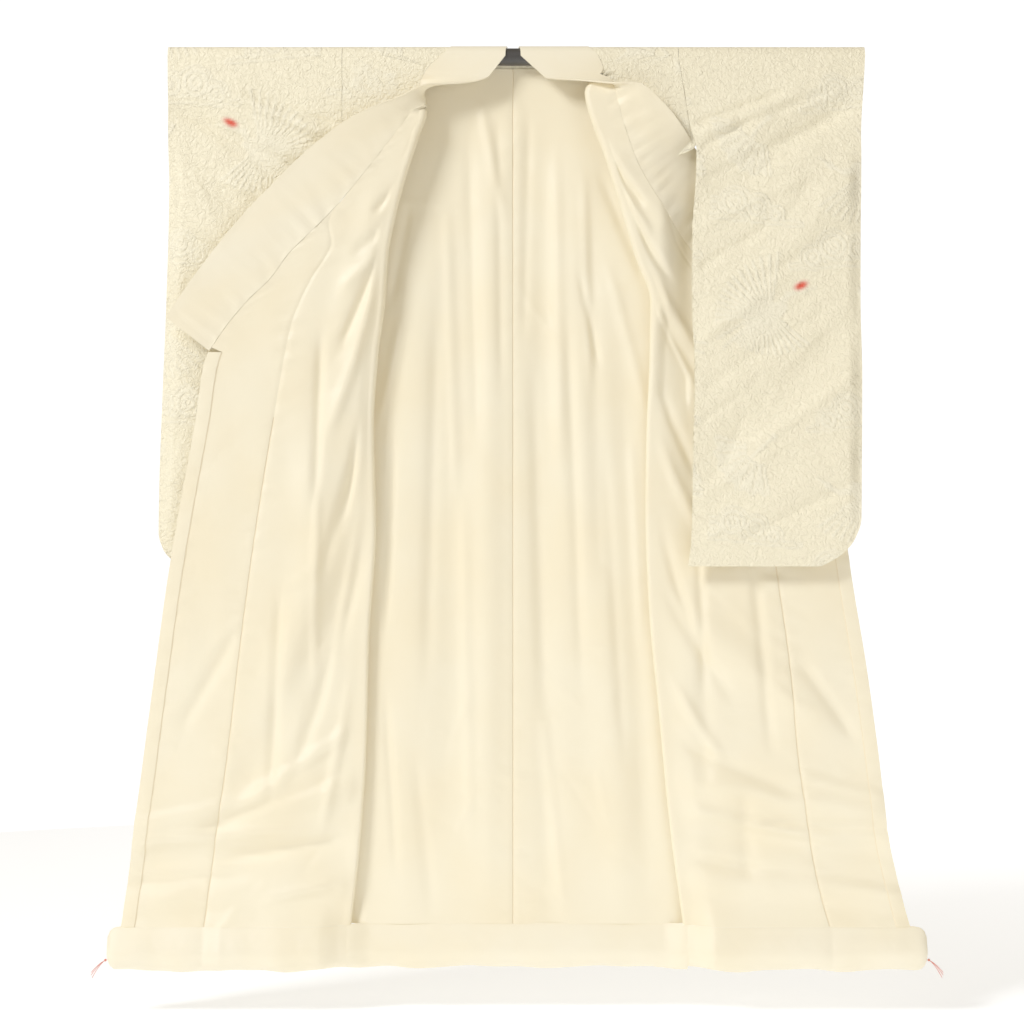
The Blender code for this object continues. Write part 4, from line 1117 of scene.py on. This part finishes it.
def thread_ends(name, side, out, z, y, node):
    knot = bmesh.new()
    bmesh.ops.create_uvsphere(knot, u_segments=20, v_segments=14, radius=2.6 * MM)
    for vert in knot.verts:
        place = vert.co / (2.6 * MM)
        grooves = 1 + 0.12 * math.sin(6 * math.atan2(place.x, place.z) + 7 * place.y)
        vert.co = vert.co * grooves
    bmesh.ops.translate(knot, verts=knot.verts[:], vec=(out * side * MM, y * MM, z * MM))
    for lean, drop in THREAD_LEANS:
        for ply in (0, math.pi):
            ring = bmesh.ops.create_circle(knot, segments=6, radius=PLY_RADIUS * MM)["verts"]
            loop = ring
            centre = np.zeros(3)
            for step in range(STRAND_STEPS + 1):
                t = step / STRAND_STEPS
                fall = (t * 0.55 + 0.45 * t * t) * drop
                path = np.array((out + lean * drop * t, y - 1.0 * t, z - fall))
                turn = 2 * math.pi * drop * t * 1.2 / TWIST_LENGTH + ply
                place = path + TWIST_RADIUS * np.array((math.cos(turn), math.sin(turn), 0.3 * math.cos(turn)))
                target = place * np.array((side, 1, 1)) * MM
                if step:
                    edges = [edge for edge in knot.edges if edge.verts[0] in loop and edge.verts[1] in loop]
                    made = bmesh.ops.extrude_edge_only(knot, edges=edges)["geom"]
                    loop = [part for part in made if isinstance(part, bmesh.types.BMVert)]
                bmesh.ops.translate(knot, verts=loop, vec=tuple(target - centre))
                centre = target
    bmesh.ops.holes_fill(knot, edges=[edge for edge in knot.edges if edge.is_boundary], sides=0)
    bmesh.ops.recalc_face_normals(knot, faces=knot.faces[:])
    mesh = bpy.data.meshes.new(name)
    knot.to_mesh(mesh)
    knot.free()
    mesh.shade_smooth()
    piece = bpy.data.objects.new(name, mesh)
    bpy.context.scene.collection.objects.link(piece)
    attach(piece, "root")
    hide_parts(node)
    sewn_pieces[name] = piece
    return len(mesh.polygons)


faces = thread_ends("thread_ends_right", -1, RIGHT_CORNER + 2.9, HEM_BOTTOM + 20, right_stations[-1][1] - 8,
                    "corner_thread_right")
thread_ends("thread_ends_left", 1, LEFT_CORNER + 2.9, HEM_BOTTOM + 20, left_stations[-1][1] - 8,
            "corner_thread_left")
print("thread ends:", faces, "faces each")

# %% [markdown]
# The outer silk carries a woven figure, white on white: flying cranes with small red crowns, feather
# fans and drifts of cloud, repeated as a loom repeats them. A figure is a set of rounded strokes on the
# cloth's own map. How much of it covers each point is kept as an attribute, which the material
# turns into relief and a duller gloss, so it stays sharp in folds and needs no picture.

# %% Woven figures
REPEAT_WIDTH = 0.42
REPEAT_LENGTH = 0.62
EDGE_SOFTNESS = 0.0016
FIGURES = (
    ("crane", 0.11, 0.13, 24, 0.24), ("fan", 0.32, 0.10, -38, 0.085), ("cloud", 0.27, 0.245, 4, 0.11),
    ("crane", 0.31, 0.40, 158, 0.23), ("cloud", 0.07, 0.33, -6, 0.10), ("fan", 0.10, 0.49, 132, 0.09),
    ("cloud", 0.29, 0.555, 8, 0.10),
)


def stroke(x, y, start, end, width):
    """Distance outside a rounded stroke from start to end: negative inside it."""
    ax, ay = start
    bx, by = end
    length = max((bx - ax) ** 2 + (by - ay) ** 2, 1e-9)
    share = np.clip(((x - ax) * (bx - ax) + (y - ay) * (by - ay)) / length, 0.0, 1.0)
    return np.hypot(x - ax - share * (bx - ax), y - ay - share * (by - ay)) - width


def crane(x, y):
    body = np.hypot(x / 0.19, (y + 0.01) / 0.075) * 0.075 - 0.075
    parts = [body,
             stroke(x, y, (0.12, 0.0), (0.23, 0.07), 0.026),
             stroke(x, y, (0.23, 0.07), (0.34, 0.06), 0.019),
             stroke(x, y, (0.34, 0.06), (0.37, 0.052), 0.026),
             stroke(x, y, (0.37, 0.052), (0.46, 0.03), 0.009)]
    for lift in (-0.02, 0.015):
        parts.append(stroke(x, y, (-0.14, lift), (-0.44, lift * 2.5 - 0.05), 0.010))
    for feather in range(14):
        turn = math.radians(60 + feather * 7.5)
        reach = 0.47 - 0.013 * feather
        root = 0.06 - 0.013 * feather
        parts.append(stroke(x, y, (root, 0.03), (root + reach * math.cos(turn), reach * math.sin(turn)), 0.012))
        turn = math.radians(-68 - feather * 7)
        parts.append(stroke(
            x, y, (root, -0.03), (root + 0.8 * reach * math.cos(turn), 0.8 * reach * math.sin(turn)), 0.011))
    return np.min(parts, axis=0)


def fan(x, y):
    radius = np.hypot(x, y)
    turn = np.arctan2(x, y)
    scallop = 1.0 + 0.05 * np.cos(turn * 20)
    plume = np.maximum(radius - scallop, 0.34 - radius)
    plume = np.maximum(plume, (np.abs(turn) - 1.05) * 0.9)
    barbs = np.abs(np.sin(turn * 10)) * radius * 0.12 - 0.022
    ring = np.abs(radius - 0.34) - 0.03
    ring = np.maximum(ring, (np.abs(turn) - 1.05) * 0.9)
    handle = stroke(x, y, (0, 0.30), (0, -0.34), 0.035)
    knot = np.hypot(x, y + 0.38) - 0.07
    return np.minimum(np.minimum(np.maximum(plume, -barbs), ring), np.minimum(handle, knot))


def cloud(x, y):
    puffs = ((-0.62, 0.0, 0.24), (-0.25, 0.16, 0.32), (0.2, 0.10, 0.27), (0.58, -0.02, 0.2))
    outline = np.min([np.hypot(x - cx, y - cy) - size for cx, cy, size in puffs], axis=0)
    outline = np.minimum(outline, stroke(x, y, (-1.0, -0.14), (1.1, -0.16), 0.07))
    bands = np.abs((-outline * 9) % 1.0 - 0.5) / 9 - 0.018
    return np.maximum(outline, -bands)


DRAWN = {"crane": crane, "fan": fan, "cloud": cloud}
CROWN = (0.352, 0.094, 0.056, 0.031)
RED_CROWN_AT = 0.13
CROWN_SOFTNESS = 0.0042


def woven_figure(uv):
    """How much a figure covers each point, and where the cranes' crowns are, for a grid of map points."""
    cover = np.zeros(uv.shape[:2])
    crown = np.zeros(uv.shape[:2])
    across = uv[:, :, 0] / REPEAT_WIDTH
    half_drop = np.where(np.floor(across) % 2 == 1, REPEAT_LENGTH / 2, 0.0)
    x0 = (across - np.floor(across)) * REPEAT_WIDTH
    y0 = (uv[:, :, 1] + half_drop) % REPEAT_LENGTH
    for kind, cx, cy, degrees, size in FIGURES:
        turn = math.radians(degrees)
        for shift in (-REPEAT_LENGTH, 0.0, REPEAT_LENGTH):
            dx, dy = x0 - cx, y0 - cy - shift
            x = (dx * math.cos(turn) + dy * math.sin(turn)) / size
            y = (-dx * math.sin(turn) + dy * math.cos(turn)) / size
            distance = DRAWN[kind](x, y) * size
            cover = np.maximum(cover, smooth_step(EDGE_SOFTNESS, -EDGE_SOFTNESS, distance))
            if cy == RED_CROWN_AT:
                spot = (np.hypot((x - CROWN[0]) / CROWN[2], (y - CROWN[1]) / CROWN[3]) - 1) * CROWN[3] * size
                crown = np.maximum(crown, smooth_step(CROWN_SOFTNESS, -CROWN_SOFTNESS, spot))
    return np.maximum(cover, crown), crown


def weave_figures(piece, shift):
    """Stores the figure on a piece's points, from its own map moved by the shift in metres."""
    mesh = piece.data
    corner_uv = np.empty(len(mesh.loops) * 2)
    mesh.uv_layers["cloth"].data.foreach_get("uv", corner_uv)
    corner_vert = np.empty(len(mesh.loops), int)
    mesh.loops.foreach_get("vertex_index", corner_vert)
    uv = np.zeros((len(mesh.vertices), 2))
    uv[corner_vert] = corner_uv.reshape(-1, 2)
    cover, crown = woven_figure(uv[None, :, :] + np.array(shift))
    for name, values in (("figure", cover), ("crown", crown)):
        layer = mesh.attributes.new(name, "FLOAT", "POINT")
        layer.data.foreach_set("value", values[0].astype(np.float32))
    return float(cover.mean())


OUTER_PIECES = {
    "sleeve_cloth_right_front": (-0.042, 0.315), "sleeve_cloth_right_back": (0.2, 0.3),
    "sleeve_cloth_left_front": (-0.032, 0.015),
    "sleeve_cloth_left_back": (0.02, 0.15), "back_panel_right": (0.1, 0.2), "back_panel_left": (0.27, 0.05),
    "front_panel_right": (0.0, 0.4), "front_panel_left": (0.3, 0.1), "okumi_cloth_right": (0.1, 0.5),
    "okumi_cloth_left": (0.2, 0.1),
}
for name, shift in OUTER_PIECES.items():
    covered = weave_figures(sewn_pieces[name], shift)
print("figures cover", round(100 * covered), "% of the last piece")

# %% [markdown]
# All the silks share one weave: fine threads across and down the cloth, a little uneven, with a slub
# here and there. It is a node group, so that each silk sets its own thread size and depth.

# %% Shared effects
def group_socket(group, name, kind, direction, value=None):
    socket = group.interface.new_socket(name=name, in_out=direction, socket_type=kind)
    if value is not None:
        socket.default_value = value
    return socket


def add_math(nodes, links, operation, first, second):
    step = nodes.new("ShaderNodeMath")
    step.operation = operation
    for socket, value in zip(step.inputs, (first, second)):
        if isinstance(value, (int, float)):
            socket.default_value = value
        else:
            links.new(value, socket)
    return step.outputs[0]


def make_weave_group():
    group = bpy.data.node_groups.new("silk weave", "ShaderNodeTree")
    group_socket(group, "Vector", "NodeSocketVector", "INPUT")
    group_socket(group, "Threads per metre", "NodeSocketFloat", "INPUT", 1800.0)
    group_socket(group, "Slub", "NodeSocketFloat", "INPUT", 0.5)
    group_socket(group, "Height", "NodeSocketFloat", "OUTPUT")
    group_socket(group, "Tone", "NodeSocketFloat", "OUTPUT")
    nodes, links = group.nodes, group.links
    given = nodes.new("NodeGroupInput")
    result = nodes.new("NodeGroupOutput")
    parts = nodes.new("ShaderNodeSeparateXYZ")
    links.new(given.outputs["Vector"], parts.inputs[0])
    waves = []
    for axis in ("X", "Y"):
        turn = add_math(nodes, links, "MULTIPLY", parts.outputs[axis], given.outputs["Threads per metre"])
        waves.append(add_math(nodes, links, "SINE", add_math(nodes, links, "MULTIPLY", turn, 6.283), 0.0))
    cross = add_math(nodes, links, "MULTIPLY", waves[0], waves[1])
    stretch = nodes.new("ShaderNodeVectorMath")
    stretch.operation = "MULTIPLY"
    stretch.inputs[1].default_value = (40.0, 420.0, 40.0)
    links.new(given.outputs["Vector"], stretch.inputs[0])
    slub = nodes.new("ShaderNodeTexNoise")
    slub.inputs["Scale"].default_value = 1.0
    slub.inputs["Detail"].default_value = 3.0
    links.new(stretch.outputs[0], slub.inputs["Vector"])
    slubs = add_math(nodes, links, "MULTIPLY", slub.outputs[0], given.outputs["Slub"])
    links.new(add_math(nodes, links, "ADD", cross, slubs), result.inputs["Height"])
    links.new(slub.outputs[0], result.inputs["Tone"])
    return group


def make_unevenness_group():
    """Broad, faint patches, as on old silk: a tone between 0 and 1."""
    group = bpy.data.node_groups.new("aged tone", "ShaderNodeTree")
    group_socket(group, "Vector", "NodeSocketVector", "INPUT")
    group_socket(group, "Size", "NodeSocketFloat", "INPUT", 5.0)
    group_socket(group, "Tone", "NodeSocketFloat", "OUTPUT")
    nodes, links = group.nodes, group.links
    given = nodes.new("NodeGroupInput")
    result = nodes.new("NodeGroupOutput")
    noise = nodes.new("ShaderNodeTexNoise")
    noise.inputs["Detail"].default_value = 4.0
    links.new(given.outputs["Vector"], noise.inputs["Vector"])
    links.new(given.outputs["Size"], noise.inputs["Scale"])
    span = nodes.new("ShaderNodeMapRange")
    span.inputs["From Min"].default_value = 0.35
    span.inputs["From Max"].default_value = 0.65
    links.new(noise.outputs[0], span.inputs["Value"])
    links.new(span.outputs["Result"], result.inputs["Tone"])
    return group


weave_group = make_weave_group()
tone_group = make_unevenness_group()
print("groups:", weave_group.name, "and", tone_group.name)

# %% [markdown]
# Silk takes light softly and gives a broad, low gloss. The lining is warm cream, and light that passes
# between its folds gets warmer with each bounce, which is what colours the deep shadows orange. So
# its base colour is more saturated than the lit cloth looks.

# %% Silk materials
def start_material(name, roughness, sheen):
    material = bpy.data.materials.new(name)
    material.use_nodes = True
    tree = material.node_tree
    shader = tree.nodes["Principled BSDF"]
    shader.inputs["Roughness"].default_value = roughness
    shader.inputs["Sheen Weight"].default_value = sheen
    shader.inputs["Sheen Roughness"].default_value = 0.4
    return material, tree.nodes, tree.links, shader


def mix_colours(nodes, links, share, first, second):
    mix = nodes.new("ShaderNodeMix")
    mix.data_type = "RGBA"
    links.new(share, mix.inputs["Factor"])
    for socket, value in ((mix.inputs["A"], first), (mix.inputs["B"], second)):
        if isinstance(value, tuple):
            socket.default_value = value
        else:
            links.new(value, socket)
    return mix.outputs["Result"]


def place_group(nodes, links, group, vector, **values):
    node = nodes.new("ShaderNodeGroup")
    node.node_tree = group
    links.new(vector, node.inputs["Vector"])
    for name, value in values.items():
        node.inputs[name.replace("_", " ")].default_value = value
    return node


def cloth_map(nodes):
    uv = nodes.new("ShaderNodeUVMap")
    uv.uv_map = "cloth"
    return uv.outputs[0]


def stitched_line(nodes, links, attribute, half_width):
    """A mask along the line where a kept distance is nought."""
    kept = nodes.new("ShaderNodeAttribute")
    kept.attribute_name = attribute
    away = add_math(nodes, links, "ABSOLUTE", kept.outputs["Fac"], 0.0)
    mask = nodes.new("ShaderNodeMapRange")
    mask.interpolation_type = "SMOOTHSTEP"
    mask.inputs["From Max"].default_value = half_width
    mask.inputs["To Min"].default_value = 1.0
    mask.inputs["To Max"].default_value = 0.0
    links.new(away, mask.inputs["Value"])
    return mask.outputs["Result"]


def plain_silk(name, light, deep, roughness, sheen, threads, slub, depth, stitched=False):
    material, nodes, links, shader = start_material(name, roughness, sheen)
    where = cloth_map(nodes)
    weave = place_group(nodes, links, weave_group, where, Threads_per_metre=threads, Slub=slub)
    tone = place_group(nodes, links, tone_group, where, Size=4.0)
    colour = mix_colours(nodes, links, tone.outputs["Tone"], light, deep)
    bump = nodes.new("ShaderNodeBump")
    bump.inputs["Strength"].default_value = 0.35
    bump.inputs["Distance"].default_value = depth
    links.new(weave.outputs["Height"], bump.inputs["Height"])
    if stitched:
        lines = [stitched_line(nodes, links, attribute, SEAM_LINE) for attribute in ("from_seam", "from_cut")]
        line = add_math(nodes, links, "MAXIMUM", *lines)
        colour = mix_colours(nodes, links, line, colour, SEAM_TONE)
        groove = nodes.new("ShaderNodeBump")
        groove.invert = True
        groove.inputs["Strength"].default_value = 0.7
        groove.inputs["Distance"].default_value = 0.0012
        links.new(line, groove.inputs["Height"])
        links.new(groove.outputs["Normal"], bump.inputs["Normal"])
    links.new(colour, shader.inputs["Base Color"])
    links.new(bump.outputs["Normal"], shader.inputs["Normal"])
    return material


def figured_silk(name, ground, figure, crown_red):
    material, nodes, links, shader = start_material(name, 0.42, 0.25)
    where = cloth_map(nodes)
    weave = place_group(nodes, links, weave_group, where, Threads_per_metre=1500.0, Slub=0.6)
    woven = nodes.new("ShaderNodeAttribute")
    woven.attribute_name = "figure"
    crown = nodes.new("ShaderNodeAttribute")
    crown.attribute_name = "crown"
    colour = mix_colours(nodes, links, woven.outputs["Fac"], ground, figure)
    colour = mix_colours(nodes, links, crown.outputs["Fac"], colour, crown_red)
    links.new(colour, shader.inputs["Base Color"])
    rough = nodes.new("ShaderNodeMapRange")
    rough.inputs["To Min"].default_value = 0.36
    rough.inputs["To Max"].default_value = 0.62
    links.new(woven.outputs["Fac"], rough.inputs["Value"])
    links.new(rough.outputs["Result"], shader.inputs["Roughness"])
    raised = nodes.new("ShaderNodeBump")
    raised.inputs["Strength"].default_value = 0.9
    raised.inputs["Distance"].default_value = 0.0013
    links.new(woven.outputs["Fac"], raised.inputs["Height"])
    crinkle = nodes.new("ShaderNodeTexNoise")
    crinkle.inputs["Scale"].default_value = 110.0
    crinkle.inputs["Detail"].default_value = 3.0
    crinkle.inputs["Distortion"].default_value = 1.2
    links.new(where, crinkle.inputs["Vector"])
    crepe = nodes.new("ShaderNodeBump")
    crepe.inputs["Strength"].default_value = 0.8
    crepe.inputs["Distance"].default_value = 0.0056
    links.new(crinkle.outputs[0], crepe.inputs["Height"])
    links.new(raised.outputs["Normal"], crepe.inputs["Normal"])
    threads = nodes.new("ShaderNodeBump")
    threads.inputs["Strength"].default_value = 0.4
    threads.inputs["Distance"].default_value = 0.00012
    links.new(weave.outputs["Height"], threads.inputs["Height"])
    links.new(crepe.outputs["Normal"], threads.inputs["Normal"])
    links.new(threads.outputs["Normal"], shader.inputs["Normal"])
    return material


SEAM_LINE = 0.0024
SEAM_TONE = (0.88, 0.72, 0.45, 1.0)
outer_silk = figured_silk(
    "figured ivory silk", (0.97, 0.88, 0.615, 1.0), (0.97, 0.895, 0.655, 1.0), (0.74, 0.04, 0.012, 1.0))
lining_silk = plain_silk(
    "cream lining silk", (0.95, 0.86, 0.62, 1.0), (0.935, 0.82, 0.555, 1.0), 0.38, 0.2, 1900.0, 0.7, 0.00010,
    stitched=True)
collar_silk = plain_silk(
    "plain white collar silk", (0.95, 0.87, 0.65, 1.0), (0.93, 0.82, 0.56, 1.0), 0.42, 0.25, 2100.0, 0.3, 0.00006)
hem_silk = plain_silk(
    "padded hem silk", (0.955, 0.875, 0.66, 1.0), (0.94, 0.835, 0.58, 1.0), 0.40, 0.2, 1700.0, 0.6, 0.00010)
print("silks:", outer_silk.name, lining_silk.name, collar_silk.name, hem_silk.name)

# %% [markdown]
# The rod is turned wood under dark lacquer: nearly black, with a faint grain along it and a clear coat.
# The thread is a twisted salmon yarn, and fine fibres make it rough.

# %% Rod and thread materials
rod_lacquer, nodes, links, shader = start_material("dark rod lacquer", 0.5, 0.0)
shader.inputs["Coat Weight"].default_value = 0.15
shader.inputs["Coat Roughness"].default_value = 0.35
where = nodes.new("ShaderNodeTexCoord")
stretch = nodes.new("ShaderNodeMapping")
stretch.inputs["Scale"].default_value = (6.0, 160.0, 160.0)
links.new(where.outputs["Object"], stretch.inputs["Vector"])
grain = nodes.new("ShaderNodeTexNoise")
grain.inputs["Scale"].default_value = 1.0
grain.inputs["Detail"].default_value = 6.0
links.new(stretch.outputs[0], grain.inputs["Vector"])
links.new(
    mix_colours(nodes, links, grain.outputs[0], (0.004, 0.0035, 0.0035, 1.0), (0.014, 0.012, 0.012, 1.0)),
    shader.inputs["Base Color"],
)
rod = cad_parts["hanger_rod"]
rod.data.materials.clear()
rod.data.materials.append(rod_lacquer)

thread_yarn, nodes, links, shader = start_material("salmon thread", 0.7, 0.4)
where = nodes.new("ShaderNodeTexCoord")
fibres = nodes.new("ShaderNodeTexNoise")
fibres.inputs["Scale"].default_value = 2500.0
links.new(where.outputs["Object"], fibres.inputs["Vector"])
links.new(
    mix_colours(nodes, links, fibres.outputs[0], (0.66, 0.10, 0.06, 1.0), (0.88, 0.30, 0.21, 1.0)),
    shader.inputs["Base Color"],
)
print("rod and thread ready")

# %% Give each piece its silk
def silk_for(name):
    if name in OUTER_PIECES:
        return outer_silk
    if name.startswith("collar"):
        return collar_silk
    if name.startswith("padded_hem"):
        return hem_silk
    return thread_yarn if name.startswith("thread") else lining_silk


for name, piece in sewn_pieces.items():
    piece.data.materials.clear()
    piece.data.materials.append(silk_for(name))
print("dressed", len(sewn_pieces), "pieces")

# %% [markdown]
# The photograph is taken square on from about five metres, under broad, bright studio light, on white.
# A pale round floor stands under the hem, and whoever looks past it sees plain white. One large soft
# light stands high on the left, so that folds shade to one side, a weaker one fills in low on the
# right, and one behind lights the back. The air itself glows faintly and warmly, as in a pale room,
# which keeps the shadows in the folds warm.

# %% Floor
FLOOR_HEIGHT = -1.86
FLOOR_RADIUS = 3.2
disc = bmesh.new()
bmesh.ops.create_circle(disc, cap_ends=True, segments=96, radius=FLOOR_RADIUS)
bmesh.ops.translate(disc, verts=disc.verts[:], vec=(0, 0, FLOOR_HEIGHT))
mesh = bpy.data.meshes.new("floor")
disc.to_mesh(mesh)
disc.free()
floor = bpy.data.objects.new("floor", mesh)
bpy.context.scene.collection.objects.link(floor)
floor_white, nodes, links, shader = start_material("white floor", 0.9, 0.0)
shader.inputs["Base Color"].default_value = (0.90, 0.93, 0.97, 1.0)
shader.inputs["Emission Color"].default_value = (1.0, 0.98, 0.95, 1.0)
shader.inputs["Emission Strength"].default_value = 0.33
mesh.materials.append(floor_white)
print("floor", round(floor.dimensions.x, 1), "m wide")

# %% Lights
LIGHTS = (
    ("key softbox", (-4.6, -4.4, 3.6), (0.0, 0.0, -0.9), 2.0, 385.0),
    ("low fill", (3.0, -4.8, -0.6), (0.0, 0.0, -0.9), 3.0, 34.0),
    ("back softbox", (3.8, 5.2, 2.6), (0.0, 0.0, -0.9), 2.4, 230.0),
)


def aim(obj, target):
    direction = np.array(target) - np.array(obj.location)
    flat = math.hypot(direction[0], direction[1])
    obj.rotation_euler = (math.atan2(flat, -direction[2]), 0.0, math.atan2(direction[1], direction[0]) - math.pi / 2)


for name, place, target, size, power in LIGHTS:
    lamp = bpy.data.lights.new(name, "AREA")
    lamp.shape = "SQUARE"
    lamp.size = size
    lamp.energy = power
    softbox = bpy.data.objects.new(name, lamp)
    softbox.location = place
    aim(softbox, target)
    bpy.context.scene.collection.objects.link(softbox)
world = bpy.data.worlds.new("white studio")
world.use_nodes = True
nodes, links = world.node_tree.nodes, world.node_tree.links
room = nodes["Background"]
room.inputs["Color"].default_value = (1.0, 0.85, 0.62, 1.0)
room.inputs["Strength"].default_value = 0.27
seen = nodes.new("ShaderNodeBackground")
seen.inputs["Color"].default_value = (1.0, 1.0, 1.0, 1.0)
seen.inputs["Strength"].default_value = 1.1
looked_at = nodes.new("ShaderNodeLightPath")
either = nodes.new("ShaderNodeMixShader")
links.new(looked_at.outputs["Is Camera Ray"], either.inputs["Fac"])
links.new(room.outputs[0], either.inputs[1])
links.new(seen.outputs[0], either.inputs[2])
links.new(either.outputs[0], nodes["World Output"].inputs["Surface"])
bpy.context.scene.world = world
bpy.context.scene.view_settings.view_transform = "Standard"
bpy.context.scene.view_settings.gamma = 1.45
print("lights:", len(LIGHTS))

# %% Camera
CAMERA_PLACE = (-0.002, -5.0, -0.887)
lens = bpy.data.cameras.new("camera")
lens.lens = 90.15
lens.sensor_width = 36.0
camera = bpy.data.objects.new("camera", lens)
camera.location = CAMERA_PLACE
camera.rotation_euler = (math.pi / 2, 0.0, 0.0)
bpy.context.scene.collection.objects.link(camera)
bpy.context.scene.camera = camera
print("camera", round(-CAMERA_PLACE[1], 1), "m away, lens", lens.lens, "mm")
